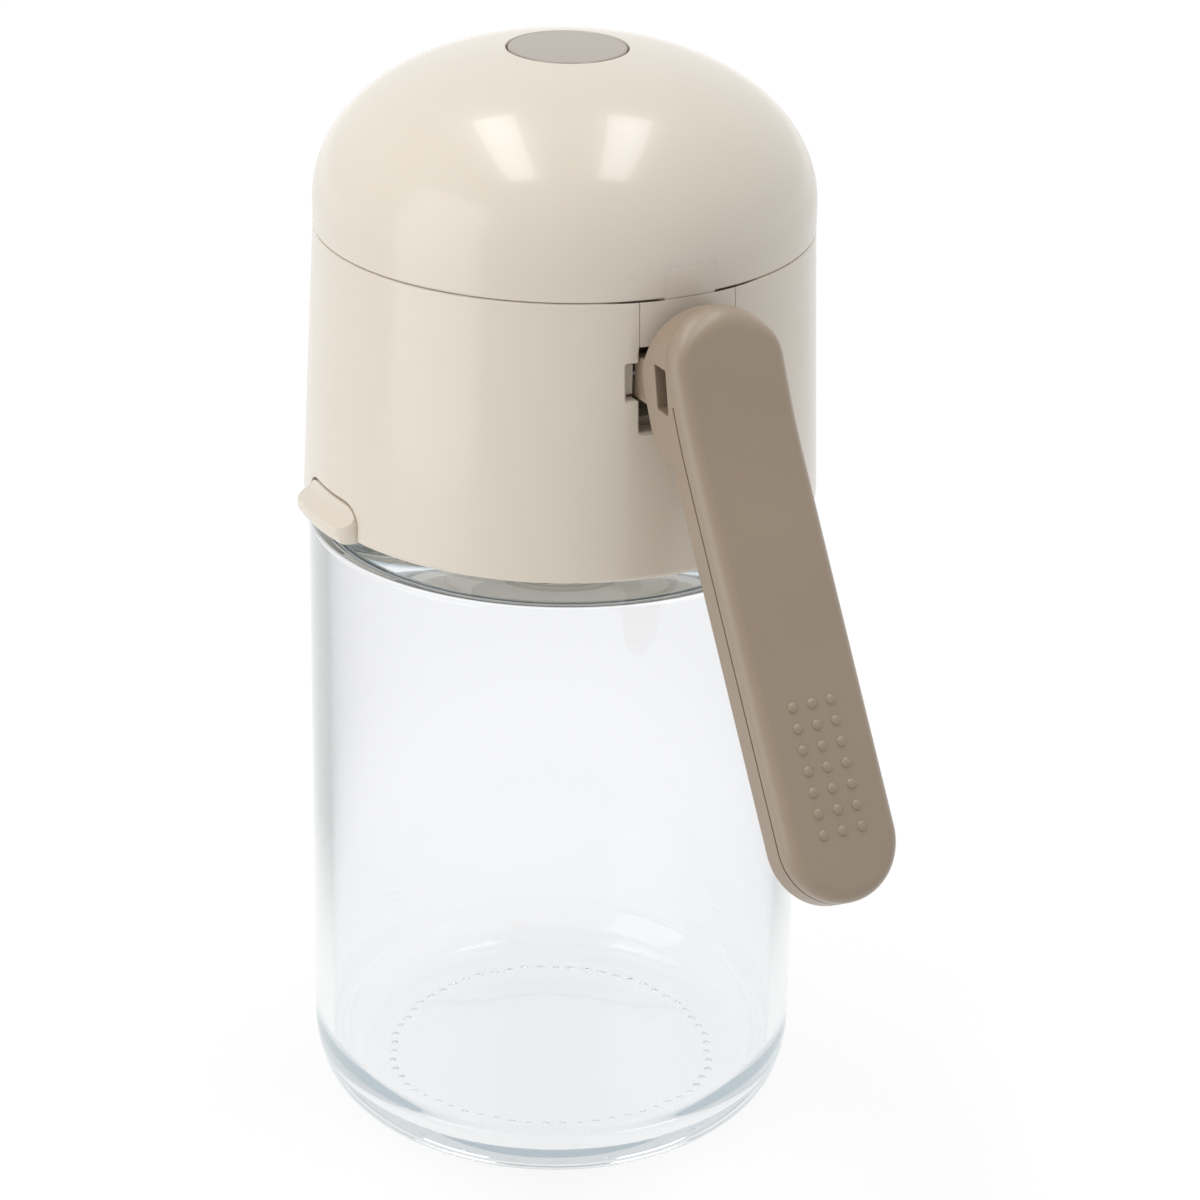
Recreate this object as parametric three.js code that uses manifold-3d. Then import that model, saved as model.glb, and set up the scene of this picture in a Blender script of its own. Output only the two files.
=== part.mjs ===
// Seasoning pot: a glass jar with a plastic head, whose side lever opens a hinged dome lid.
// Millimetres, +Z up. The origin is on the jar's axis in the plane of its foot.
// The lever is on +X, the release tab on -Y, and the pot pours over -X.
import * as THREE from "three";
import { mergeVertices } from "three/addons/utils/BufferGeometryUtils.js";
import Module from "manifold-3d";

const wasm = await Module();
wasm.setup();

// Driving dimensions shared by several pieces
const shellFacets = 48; // round the large shells
const ringFacets = 36; // round the hidden rings
const pinFacets = 16; // round pins, bosses and holes
const arcSteps = 4; // in a quarter turn of a profile
const swingSteps = 8; // along the space that the lid's edge sweeps
const seatGap = 0.3; // between two seated pieces
const runGap = 0.15; // round a pin in its bore
const overrun = 4; // how far a cutter passes the face that it cuts

// Glass jar
const jar = {
  inset: 0.7,
  bodyHeight: 96.7,
  wall: 2.8,
  floor: 4.8,
  cornerWidth: 6.9,
  cornerHeight: 10.5,
  footWidth: 3.8,
  puntDepth: 0.9,
  puntSlope: 2.6,
  shoulderRadius: 4.2,
  shoulderDepth: 5.1,
  shoulderBend: 1.6,
  neckInset: 7.3,
  neckWall: 3,
  neckFillet: 1.2,
  beadSize: 1,
  beadHeight: 3.2,
};

// Outer sleeve of the head
const housing = {
  shoulderShown: 3.3,
  height: 40.6,
  footRadius: 38,
  taper: 1.8,
  headRoom: 22.6,
  wall: 2,
  edgeRadius: 0.5,
  slotWidth: 15,
  slotDepth: 18.8,
  notchReach: 1.8,
  notchHeight: 5.3,
  ledgeWidth: 1,
  ledgeHeight: 1.4,
};

// Dome lid
const lid = {
  seam: 0.5,
  skirtHeight: 3,
  domeHeight: 22.6,
  wall: 2,
  widthShare: 2 / 2.21,
  heightShare: 2 / 2.08,
};
const topDisc = { radius: 8.5, thickness: 1.6, gap: 0.25, edge: 0.3, drop: 0.1 };
const liner = { thickness: 1.4, rise: 0.9, skirtGap: 1.8, skirtWall: 1.4, skirtDrop: 1.4 };
const seal = { margin: 1, thickness: 1.9, lipWidth: 1.6, lipDepth: 0.5 };

// Hinge of the lid
const hinge = {
  inset: 2.2,
  rise: 2.1,
  pinRadius: 0.75,
  pinLength: 14,
  lugWidth: 7.8,
  lugRadius: 2.2,
  lugInner: 1.4,
  knuckleRadius: 1.8,
  knuckleWidth: 3.6,
  panelHeight: 6.4,
  panelGap: 0.15,
};
const camNose = { inset: 3.4, drop: 1, radius: 0.8, width: 6 };

// Collar, gasket, funnel and plates inside the sleeve
const collar = {
  skirtWall: 1.4,
  skirtRise: 2.9,
  webThickness: 2,
  plugWall: 1.6,
  plugDepth: 7.6,
  plugLip: 1.3,
};
const gasket = { width: 2.4, height: 4.6, lipShare: 0.3, lips: 3 };
const funnel = {
  wall: 1.4,
  flangeHeight: 1.4,
  coneHeight: 8.7,
  spoutShare: 0.4133,
  spoutDrop: 1.2,
  ledgeWidth: 1.3,
  ledgeHeight: 1.3,
};
const shaker = { thickness: 1.4, holeShare: 0.137, ringShare: 0.58, holes: 6 };
const deck = { thickness: 1.6, drop: 4.4, slotReach: 9.6, slotWidth: 7.4 };

// Lever and what carries it
const lever = {
  pivotInset: 5.4,
  pivotDrop: 11.4,
  tilt: 31.3,
  faceOffset: 16.3,
  tip: 77.8,
  top: -4,
  width: 17.4,
  coverDepth: 2.8,
  rimRadius: 2,
  bendStart: 13,
  bendBlend: 4,
  bendSlopeShare: 0.128,
  bossRadius: 3.2,
  bossWidth: 6.4,
  neckGap: 0.6,
  neckTop: 3.4,
  neckFoot: 4.6,
  fingerReach: 9.4,
  fingerDrop: 1.6,
  fingerRadius: 1,
};
const leverHead = {
  back: 7.8,
  backEnd: 2.2,
  cheek: 9,
  cheekDrop: 0.9,
  heel: 11,
  heelDrop: 5.2,
  sole: 12.4,
  soleDrop: 6.9,
  throat: 15.9,
  throatDrop: 8.2,
  crownSlope: 0.34,
};
const leverWindow = { inset: 10.7, width: 3, top: 4.7, height: 6, lean: 12 };
const leverBack = { top: 10.6, depth: 6.8, rim: 1.4 };
const gripDot = {
  radius: 0.75,
  height: 0.35,
  pitch: 3,
  rowPitch: 2.9,
  rows: 7,
  columns: 3,
  lastRow: 9.6,
  facets: 6,
};
const leverPin = { radius: 1.1, length: 18 };
const bracket = {
  earWidth: 1.6,
  back: 2.6,
  front: 2,
  foot: 0.6,
  top: 3.4,
  slopeTop: 2.4,
  slopeFoot: 4.4,
  baseThickness: 1.5,
};
const spring = {
  radius: 2.35,
  wire: 0.3,
  pitch: 1.1,
  turns: 2.5,
  legLength: 4,
  turnSteps: 12,
  legSteps: 6,
  sides: 5,
};

// Lifter between the lever's finger and the lid's cam nose
const lifter = {
  width: 6,
  footThickness: 1.6,
  stemThickness: 1.8,
  footReach: 1.8,
  jogThickness: 1.8,
};

// Release tab in the sleeve's lower edge
const tab = {
  width: 15.6,
  height: 5,
  slit: 0.5,
  sideGap: 0.3,
  cornerRadius: 3,
  scoop: 0.8,
  lipReach: 2.6,
  lipHeight: 1.6,
  armWidth: 7.8,
  armThickness: 1.5,
  armTop: 1.6,
  pinRise: 2.8,
  pinRadius: 0.45,
  earWidth: 0.9,
  earReach: 1.2,
};

// Heights and radii that follow from the driving dimensions
const footHeight = jar.bodyHeight + housing.shoulderShown;
const seamHeight = footHeight + housing.height;
const lidHeight = seamHeight + lid.seam;
const topRadius = housing.footRadius - housing.taper;
const jarRadius = housing.footRadius - jar.inset;
const neckRadius = jarRadius - jar.neckInset;
const shoulderTop = jar.bodyHeight + jar.shoulderRadius;
const mouthHeight = seamHeight - housing.headRoom;
const webHeight = mouthHeight + seatGap;
const webTop = webHeight + collar.webThickness;
const collarInner = neckRadius + jar.beadSize + seatGap;
const collarOuter = collarInner + collar.skirtWall;
const neckInner = neckRadius - jar.neckWall;
const plugOuter = neckInner - 2 * seatGap - gasket.width;
const plugInner = plugOuter - collar.plugWall;
const spoutRadius = neckRadius * funnel.spoutShare;
const spoutOuter = spoutRadius + funnel.wall;
const spoutTop = seamHeight - funnel.spoutDrop;
const deckTop = seamHeight - deck.drop + deck.thickness;
const pivotX = topRadius - lever.pivotInset;
const pivotZ = seamHeight - lever.pivotDrop;
const hingeX = topRadius - hinge.inset;
const hingeZ = seamHeight + hinge.rise;
const neckHalf = housing.slotWidth / 2 - lever.neckGap;
const tabPinY = -collarOuter - seatGap - tab.armThickness / 2;
const tabPinZ = footHeight + tab.height + tab.pinRise;

// The sleeve's outer and inner radius at a height
function sleeveRadius(z) {
  const share = (z - footHeight) / housing.height;
  return housing.footRadius - housing.taper * share;
}
const sleeveInner = (z) => sleeveRadius(z) - housing.wall;

const radians = THREE.MathUtils.degToRad;

// A closed geometry as a solid that can be joined and cut
function solidOf(geometry) {
  for (const name of ["normal", "uv"]) geometry.deleteAttribute(name);
  const merged = mergeVertices(geometry);
  const vertProperties = merged.getAttribute("position").array;
  const triVerts = new Uint32Array(merged.index.array);
  return new wasm.Manifold(new wasm.Mesh({ numProp: 3, vertProperties, triVerts }));
}

// A loop of points, turned so that it runs anticlockwise
function loopOf(points) {
  const loop = points.map(([x, y]) => new THREE.Vector2(x, y));
  return THREE.ShapeUtils.area(loop) < 0 ? loop.reverse() : loop;
}

// Body of revolution about Z of a closed profile of [radius, height] points
function turned(profile, facets = ringFacets) {
  const loop = loopOf(profile);
  const geometry = new THREE.LatheGeometry([...loop, loop[0]], facets);
  return solidOf(geometry.rotateX(Math.PI / 2));
}

// Outline of [x, z] points carried along Y, centred on the given y
function prismY(points, width, y = 0) {
  const shape = new THREE.Shape(loopOf(points));
  const geometry = new THREE.ExtrudeGeometry(shape, { depth: width, bevelEnabled: false });
  return solidOf(geometry.rotateX(Math.PI / 2).translate(0, y + width / 2, 0));
}

// Outline of [x, z] points as seen from -Y, carried along Y between two places
function plateY(points, from, to) {
  return prismY(points, to - from, (from + to) / 2);
}

// Box between two corners
function block([x0, y0, z0], [x1, y1, z1]) {
  const geometry = new THREE.BoxGeometry(x1 - x0, y1 - y0, z1 - z0);
  return solidOf(geometry.translate((x0 + x1) / 2, (y0 + y1) / 2, (z0 + z1) / 2));
}

// Cylinder along Y through [x, z]
function rodY(radius, length, [x, z], y = 0) {
  const geometry = new THREE.CylinderGeometry(radius, radius, length, pinFacets);
  return solidOf(geometry.translate(x, y, z));
}

// Points of an elliptical quarter arc about a centre, from one angle to another in degrees
function arc([x, z], width, height, from, to, steps = arcSteps) {
  return Array.from({ length: steps + 1 }, (_, i) => {
    const angle = radians(from + ((to - from) * i) / steps);
    return [x + width * Math.cos(angle), z + height * Math.sin(angle)];
  });
}

// Solid between a bottom and a top cap, through rings of points that run the same way round.
// Each ring starts at one end and turns back half-way, so opposite points pair across the caps.
function lofted(rings) {
  const count = rings[0].length;
  const position = new Float32Array(rings.flat(2));
  const index = [];
  for (let ring = 0; ring + 1 < rings.length; ring++)
    for (let i = 0; i < count; i++) {
      const a = ring * count + i;
      const b = ring * count + ((i + 1) % count);
      index.push(a, b, b + count, a, b + count, a + count);
    }
  const last = (rings.length - 1) * count;
  for (let i = 0; i < count / 2; i++) {
    const [a, b, c, d] = [i, i + 1, count - 1 - i, (count - i) % count];
    if (b < c) index.push(a, c, b, last + a, last + b, last + c);
    if (a !== d) index.push(a, d, c, last + a, last + c, last + d);
  }
  const geometry = new THREE.BufferGeometry().setIndex(index);
  return solidOf(geometry.setAttribute("position", new THREE.BufferAttribute(position, 3)));
}

// A solid as a named mesh, with its own material
function piece(name, solid, finish) {
  const { numProp, vertProperties, triVerts } = solid.getMesh();
  const geometry = new THREE.BufferGeometry();
  geometry.setAttribute("position", new THREE.BufferAttribute(vertProperties, numProp));
  geometry.setIndex(new THREE.BufferAttribute(triVerts, 1));
  geometry.computeVertexNormals();
  const mesh = new THREE.Mesh(geometry, new THREE.MeshStandardMaterial(finish));
  mesh.name = name;
  return mesh;
}

const finishes = {
  glass: { color: 0xf3f5f5, roughness: 0.05, metalness: 0, transparent: true, opacity: 0.3 },
  cream: { color: 0xe5ddd0, roughness: 0.22, metalness: 0 },
  taupe: { color: 0x968979, roughness: 0.45, metalness: 0 },
  inner: { color: 0xe9e4da, roughness: 0.5, metalness: 0 },
  silicone: { color: 0xf0eeea, roughness: 0.7, metalness: 0 },
  steel: { color: 0xb9bbbd, roughness: 0.3, metalness: 1 },
};

// Glass jar: foot ring round a shallow punt, rounded corner, thick shoulder, beaded neck
function glassJar() {
  const inner = jarRadius - jar.wall;
  const footOuter = jarRadius - jar.cornerWidth;
  const footInner = footOuter - jar.footWidth;
  const cornerTop = jar.cornerHeight;
  const innerCorner = jar.cornerWidth - jar.wall / 2;
  const innerRise = jar.cornerHeight - jar.floor / 2;
  const bend = jar.shoulderRadius;
  const innerBend = jar.shoulderBend;
  const underside = shoulderTop - jar.shoulderDepth;
  const beadFoot = mouthHeight - jar.beadHeight;
  return turned(
    [
      [0, jar.puntDepth],
      [footInner - jar.puntSlope, jar.puntDepth],
      [footInner, 0],
      ...arc([footOuter, cornerTop], jar.cornerWidth, cornerTop, -90, 0, 2 * arcSteps),
      ...arc([jarRadius - bend, jar.bodyHeight], bend, bend, 0, 90),
      [neckRadius, shoulderTop + jar.neckFillet],
      [neckRadius, beadFoot - jar.beadSize],
      [neckRadius + jar.beadSize, beadFoot],
      [neckRadius + jar.beadSize, mouthHeight - jar.beadSize],
      [neckRadius, mouthHeight],
      [neckInner, mouthHeight],
      [neckInner, underside],
      ...arc([inner - innerBend, underside - innerBend], innerBend, innerBend, 90, 0),
      ...arc([inner - innerCorner, jar.floor + innerRise], innerCorner, innerRise, 0, -90),
      [0, jar.floor],
    ],
    shellFacets,
  );
}

// Space that the lid's lower edge sweeps behind the hinge's axis: round at every place along Y
function lidSwing() {
  const reach = Math.sqrt(topRadius ** 2 - hingeX ** 2);
  const side = Array.from({ length: swingSteps + 1 }, (_, i) => {
    const y = reach * ((2 * i) / swingSteps - 1);
    const behind = Math.sqrt(topRadius ** 2 - y ** 2) - hingeX;
    return new THREE.Vector2(Math.hypot(behind, hingeZ - lidHeight) + runGap, y);
  });
  const profile = [new THREE.Vector2(0, -reach), ...side, new THREE.Vector2(0, reach)];
  return solidOf(new THREE.LatheGeometry(profile, pinFacets).translate(hingeX, 0, hingeZ));
}

// Sleeve: tapered shell with two inner ledges, slotted from the top, notched for the pivot and the tab
function sleeve() {
  const edge = housing.edgeRadius;
  const deckLedge = deckTop - deck.thickness - seatGap;
  const webLedge = webTop + seatGap + housing.ledgeHeight;
  const ledge = (top) => [
    [sleeveInner(top), top],
    [sleeveInner(top) - housing.ledgeWidth, top],
    [sleeveInner(top) - housing.ledgeWidth, top - housing.ledgeHeight],
    [sleeveInner(top - housing.ledgeHeight), top - housing.ledgeHeight],
  ];
  const shell = turned(
    [
      [sleeveInner(footHeight), footHeight],
      [sleeveRadius(footHeight) - edge, footHeight],
      [sleeveRadius(footHeight), footHeight + edge],
      [sleeveRadius(seamHeight), seamHeight - edge],
      [sleeveRadius(seamHeight) - edge, seamHeight],
      [sleeveInner(seamHeight), seamHeight],
      ...ledge(deckLedge),
      ...ledge(webLedge),
    ],
    shellFacets,
  );
  const outside = housing.footRadius + overrun;
  const slotHalf = housing.slotWidth / 2;
  const notchHalf = slotHalf + housing.notchReach;
  const slotFoot = seamHeight - housing.slotDepth;
  const inside = pivotX - leverPin.radius;
  const slot = block([inside, -slotHalf, slotFoot], [outside, slotHalf, seamHeight + overrun]);
  const notchLow = pivotZ - housing.notchHeight / 2;
  const notchHigh = pivotZ + housing.notchHeight / 2;
  const notch = block([inside, -notchHalf, notchLow], [outside, notchHalf, notchHigh]);
  return shell.subtract(slot).subtract(notch).subtract(lidSwing()).subtract(tabNotch());
}

// Rounded-top outline, open at the bottom, carried inwards through the sleeve on -Y
function tabPrism(width, height, corner) {
  const half = width / 2;
  const top = footHeight + height;
  const outline = [
    [-half, footHeight - overrun],
    [half, footHeight - overrun],
    ...arc([half - corner, top - corner], corner, corner, 0, 90),
    ...arc([corner - half, top - corner], corner, corner, 90, 180),
  ];
  return plateY(outline, -housing.footRadius - 2 * overrun, -collarOuter - seatGap);
}

function tabNotch() {
  const width = tab.width + 2 * tab.sideGap;
  return tabPrism(width, tab.height + tab.slit, tab.cornerRadius + tab.sideGap);
}

// Panel that fills the slot above the lever, with the lug that carries the hinge pin
function hingeBlock() {
  const panelHalf = housing.slotWidth / 2 - hinge.panelGap;
  const panelFoot = seamHeight - hinge.panelHeight;
  const lugTop = hingeZ + hinge.lugRadius;
  const bend = hinge.lugInner / 2;
  const outer = turned([
    [collarInner, panelFoot],
    [sleeveRadius(panelFoot), panelFoot],
    [sleeveRadius(seamHeight), seamHeight],
    [sleeveRadius(seamHeight), lugTop],
    [collarInner, lugTop],
  ], shellFacets);
  const face = hingeX - hinge.lugInner;
  const outside = housing.footRadius + overrun;
  const panel = block([face, -panelHalf, panelFoot], [outside, panelHalf, seamHeight]);
  const lug = prismY(
    [
      [face, panelFoot],
      [hingeX + hinge.lugRadius, panelFoot],
      ...arc([hingeX, hingeZ], hinge.lugRadius, hinge.lugRadius, 0, 90),
      ...arc([face + bend, lugTop - bend], bend, bend, 90, 180),
    ],
    hinge.lugWidth,
  );
  const bore = rodY(hinge.pinRadius + runGap, housing.slotWidth, [hingeX, hingeZ]);
  return panel.subtract(lidSwing()).add(lug).intersect(outer).subtract(bore);
}

// Collar: skirt outside the neck, web across the rim, plug inside, flange out to the sleeve
function neckCollar() {
  const skirtFoot = shoulderTop + collar.skirtRise;
  const plugFoot = webHeight - collar.plugDepth;
  const flange = sleeveInner(webTop) - seatGap;
  const ring = turned([
    [plugInner, plugFoot],
    [plugOuter + collar.plugLip, plugFoot],
    [plugOuter, plugFoot + collar.plugLip],
    [plugOuter, webHeight],
    [collarInner, webHeight],
    [collarInner, skirtFoot],
    [collarOuter, skirtFoot],
    [collarOuter, webHeight],
    [flange, webHeight],
    [flange, webTop],
    [plugInner, webTop],
  ], shellFacets);
  const earX = tab.armWidth / 2 + seatGap;
  const [left, right] = [-1, 1].map((side) => {
    const x = side * (earX + tab.earWidth / 2);
    return block(
      [x - tab.earWidth / 2, tabPinY - tab.earReach, tabPinZ - tab.earReach],
      [x + tab.earWidth / 2, -collarInner - collar.skirtWall / 2, tabPinZ + tab.earReach],
    );
  });
  return ring.add(left).add(right).subtract(tabRod(runGap, overrun));
}

// Silicone ring with lips, on the plug
function neckGasket() {
  const inner = plugOuter + seatGap;
  const outer = inner + gasket.width;
  const foot = webHeight - seatGap - gasket.height;
  const step = gasket.height / gasket.lips;
  const root = outer - gasket.lipShare * gasket.width;
  const lips = Array.from({ length: gasket.lips }, (_, i) => [
    [root, foot + i * step],
    [outer, foot + (i + gasket.lipShare) * step],
    [outer, foot + (i + 1 - gasket.lipShare) * step],
  ]).flat();
  return turned([[inner, foot], ...lips, [root, foot + gasket.height], [inner, foot + gasket.height]]);
}

// Funnel: flange on the collar, cone, spout with an inner ledge for the shaker disc
function pourFunnel() {
  const foot = webTop + seatGap;
  const coneFoot = foot + funnel.flangeHeight;
  const coneTop = coneFoot + funnel.coneHeight;
  const rim = plugInner + funnel.wall;
  const ledge = spoutTop - shaker.thickness - seatGap;
  return turned([
    [plugInner, foot],
    [rim + funnel.wall, foot],
    [rim + funnel.wall, coneFoot],
    [rim, coneFoot],
    [spoutOuter, coneTop],
    [spoutOuter, spoutTop],
    [spoutRadius, spoutTop],
    [spoutRadius, ledge],
    [spoutRadius - funnel.ledgeWidth, ledge],
    [spoutRadius - funnel.ledgeWidth, ledge - funnel.ledgeHeight],
    [spoutRadius, ledge - funnel.ledgeHeight - funnel.ledgeWidth],
    [spoutRadius, coneTop],
    [plugInner, coneFoot],
  ]);
}

// Shaker disc with one hole in the middle and a ring of holes
function shakerDisc() {
  const radius = spoutRadius - seatGap;
  const disc = turned([
    [0, spoutTop - shaker.thickness],
    [radius, spoutTop - shaker.thickness],
    [radius, spoutTop],
    [0, spoutTop],
  ]);
  const holeRadius = shaker.holeShare * spoutRadius;
  const holeRing = shaker.ringShare * spoutRadius;
  const hole = new THREE.CylinderGeometry(holeRadius, holeRadius, overrun, pinFacets / 2);
  const drill = solidOf(hole.rotateX(Math.PI / 2).translate(0, 0, spoutTop - shaker.thickness / 2));
  let cut = disc.subtract(drill);
  for (let i = 0; i < shaker.holes; i++) {
    const angle = (2 * Math.PI * i) / shaker.holes;
    const place = [holeRing * Math.cos(angle), holeRing * Math.sin(angle), 0];
    cut = cut.subtract(drill.translate(place));
  }
  return cut;
}

// Deck round the spout, cut through behind it for the lifter
function deckPlate() {
  const radius = sleeveInner(deckTop) - seatGap;
  const foot = deckTop - deck.thickness;
  const inner = spoutOuter + seatGap;
  const plate = turned([
    [inner, foot],
    [radius, foot],
    [radius, deckTop],
    [inner, deckTop],
  ]);
  const [low, high, outside] = [foot - overrun, deckTop + overrun, radius + overrun];
  const half = deck.slotWidth / 2;
  const slot = block([hingeX - deck.slotReach, -half, low], [outside, half, high]);
  const panelHalf = housing.slotWidth / 2 + seatGap;
  const panel = block([hingeX - hinge.lugInner - seatGap, -panelHalf, low], [outside, panelHalf, high]);
  return plate.subtract(slot).subtract(panel);
}

// Dome's radius and height for a share of the quarter turn, drawn in by an offset
function domeArc(offset) {
  const radius = topRadius - offset;
  const foot = lidHeight + lid.skirtHeight;
  const rise = lid.domeHeight - offset;
  return Array.from({ length: 2 * arcSteps + 1 }, (_, i) => {
    const angle = ((Math.PI / 2) * i) / (2 * arcSteps);
    const width = i === 2 * arcSteps ? 0 : Math.cos(angle) ** lid.widthShare;
    return [radius * width, foot + rise * Math.sin(angle) ** lid.heightShare];
  });
}

function domeBody() {
  return turned([[0, lidHeight], [topRadius, lidHeight], ...domeArc(0)], shellFacets);
}

const domeTop = lidHeight + lid.skirtHeight + lid.domeHeight;
const discTop = domeTop - topDisc.drop - topDisc.edge;

// Dome: thin shell with hinge knuckles, notched for the lug, with a seat for the top disc
function lidDome() {
  const inner = topRadius - lid.wall;
  const hollow = [[0, lidHeight - overrun], [inner, lidHeight - overrun], ...domeArc(lid.wall)];
  const cavity = turned(hollow, shellFacets);
  const dome = domeBody();
  const seat = topDisc.thickness + seatGap;
  const backing = turned([
    [0, discTop - seat - lid.wall],
    [topDisc.radius + lid.wall, discTop - seat - lid.wall],
    [topDisc.radius + lid.wall, discTop],
    [0, discTop],
  ]);
  const lugHalf = hinge.lugWidth / 2 + seatGap;
  const knuckleY = lugHalf + hinge.knuckleWidth / 2;
  const knuckle = rodY(hinge.knuckleRadius, hinge.knuckleWidth, [hingeX, hingeZ]);
  const knuckles = knuckle.translate([0, knuckleY, 0]).add(knuckle.translate([0, -knuckleY, 0]));
  const web = block([hingeX, -knuckleY, lidHeight], [topRadius, knuckleY, hingeZ]);
  const notchTop = hingeZ + hinge.lugRadius + seatGap;
  const notchX = [hingeX - 2 * hinge.lugInner, topRadius + overrun];
  const notch = block([notchX[0], -lugHalf, lidHeight - overrun], [notchX[1], lugHalf, notchTop]);
  const bore = rodY(hinge.pinRadius + runGap, hinge.pinLength + 2 * seatGap, [hingeX, hingeZ]);
  const recess = turned([
    [0, discTop - seat],
    [topDisc.radius + topDisc.gap, discTop - seat],
    [topDisc.radius + topDisc.gap, domeTop + overrun],
    [0, domeTop + overrun],
  ]);
  const shell = dome.subtract(cavity).add(backing.intersect(dome)).add(knuckles.add(web).intersect(dome));
  return shell.subtract(notch).subtract(bore).subtract(recess);
}

function discInsert() {
  const foot = discTop - topDisc.thickness;
  return turned([
    [0, foot],
    [topDisc.radius, foot],
    [topDisc.radius, discTop - topDisc.edge],
    [topDisc.radius - topDisc.edge, discTop],
    [0, discTop],
  ]);
}

// Liner: disc inside the dome's skirt, ring round the seal, cam nose near the hinge
function lidLiner() {
  const foot = lidHeight + liner.rise;
  const top = foot + liner.thickness;
  const radius = topRadius - lid.wall - seatGap;
  const skirtInner = spoutOuter + liner.skirtGap;
  const skirtOuter = skirtInner + liner.skirtWall;
  const disc = turned([
    [0, foot],
    [skirtInner, foot],
    [skirtInner, foot - liner.skirtDrop],
    [skirtOuter, foot - liner.skirtDrop],
    [skirtOuter, foot],
    [radius, foot],
    [radius, top],
    [0, top],
  ], shellFacets);
  const noseX = hingeX - camNose.inset;
  const noseZ = hingeZ - camNose.drop;
  const nose = prismY(
    [
      ...arc([noseX, noseZ], camNose.radius, camNose.radius, -180, 0, 2 * arcSteps),
      [noseX + camNose.radius, top],
      [noseX - camNose.radius, top],
    ],
    camNose.width,
  );
  const half = hinge.lugWidth / 2 + hinge.knuckleWidth + 2 * seatGap;
  const edge = hingeX - hinge.lugRadius - 2 * seatGap;
  const cut = block([edge, -half, foot - overrun], [radius + overrun, half, top + overrun]);
  return disc.subtract(cut).add(nose);
}

function lidSeal() {
  const top = lidHeight + liner.rise - seatGap;
  const foot = top - seal.thickness + seal.lipDepth;
  const radius = spoutOuter + seal.margin;
  const lip = radius - seal.lipWidth;
  return turned([
    [0, foot],
    [lip - seal.lipDepth, foot],
    [lip, foot - seal.lipDepth],
    [radius, foot - seal.lipDepth],
    [radius, top],
    [0, top],
  ]);
}

// Lifter, drawn from the side: foot over the finger, stem past the boss, head under the cam nose
function lifterSlide() {
  const foot = pivotZ - lever.fingerDrop + lever.fingerRadius + seatGap;
  const footTop = foot + lifter.footThickness;
  const fingerX = pivotX - lever.fingerReach;
  const stemOuter = pivotX - lever.bossRadius - seatGap;
  const jog = pivotZ + lever.bossRadius + 3 * seatGap;
  const jogTop = jog + lifter.jogThickness;
  const headX = hingeX - camNose.inset;
  const head = hingeZ - camNose.drop - camNose.radius - seatGap;
  return prismY(
    [
      [fingerX - lifter.footReach, foot],
      [stemOuter, foot],
      [stemOuter, jog],
      [headX + lifter.stemThickness / 2, jog],
      [headX + lifter.stemThickness / 2, head],
      [headX - lifter.stemThickness / 2, head],
      [headX - lifter.stemThickness / 2, jogTop],
      [stemOuter - lifter.stemThickness, jogTop],
      [stemOuter - lifter.stemThickness, footTop],
      [fingerX - lifter.footReach, footTop],
    ],
    lifter.width,
  );
}

// A place on the lever, from its distance along the arm, across it and out from the pivot,
// in the frame of the pivot with the arm at the tilt that it rests at
const tilt = radians(lever.tilt);
function leverPoint(along, across, out) {
  const x = out * Math.cos(tilt) + along * Math.sin(tilt);
  return [x, across, out * Math.sin(tilt) - along * Math.cos(tilt)];
}

// How far out the lever's face lies: straight along the arm, bent out at the head
function faceOut(along) {
  const ahead = lever.bendStart - along;
  const bend = (lever.bendSlopeShare * (Math.hypot(ahead, lever.bendBlend) + ahead)) / 2;
  return lever.faceOffset + bend;
}

// The lever's long outline with round ends, drawn in by an inset, at a depth under its face
function leverRing(inset, depth) {
  const radius = lever.width / 2 - inset;
  const topCentre = lever.top + lever.width / 2;
  const tipCentre = lever.tip - lever.width / 2;
  const straight = Array.from({ length: 2 * arcSteps - 1 }, (_, i) => {
    const share = (i + 1) / (2 * arcSteps);
    return [topCentre + (tipCentre - topCentre) * share, radius];
  });
  const side = [
    ...arc([topCentre, 0], radius, radius, 180, 90, 2 * arcSteps),
    ...straight,
    ...arc([tipCentre, 0], radius, radius, 90, 0, 2 * arcSteps),
  ];
  const back = side.slice(1, -1).reverse();
  const outline = [...side.map(([along, across]) => [along, -across]), ...back];
  return outline.map(([along, across]) => leverPoint(along, across, faceOut(along) - depth));
}

// Rings of a rounded edge: full outline at its foot, drawn in by the radius at its top
function rimRings(radius, depth, direction) {
  return Array.from({ length: arcSteps }, (_, i) => {
    const angle = ((Math.PI / 2) * i) / (arcSteps - 1);
    return leverRing(radius * (1 - Math.cos(angle)), depth + direction * radius * Math.sin(angle));
  });
}

// Low dome of one grip dot, standing on the face
function gripDots() {
  const dots = [];
  for (let row = 0; row < gripDot.rows; row++)
    for (let column = 0; column < gripDot.columns; column++) {
      const along = lever.tip - gripDot.lastRow - row * gripDot.rowPitch;
      const across = (column - (gripDot.columns - 1) / 2) * gripDot.pitch;
      const rise = 2 * gripDot.height;
      const cap = new THREE.SphereGeometry(1, gripDot.facets, arcSteps);
      cap.scale(gripDot.radius, rise / 2, gripDot.radius).rotateX(Math.PI / 2);
      cap.rotateY(Math.PI / 2 - tilt);
      dots.push(solidOf(cap.translate(...leverPoint(along, across, faceOut(along)))));
    }
  return dots;
}

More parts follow.
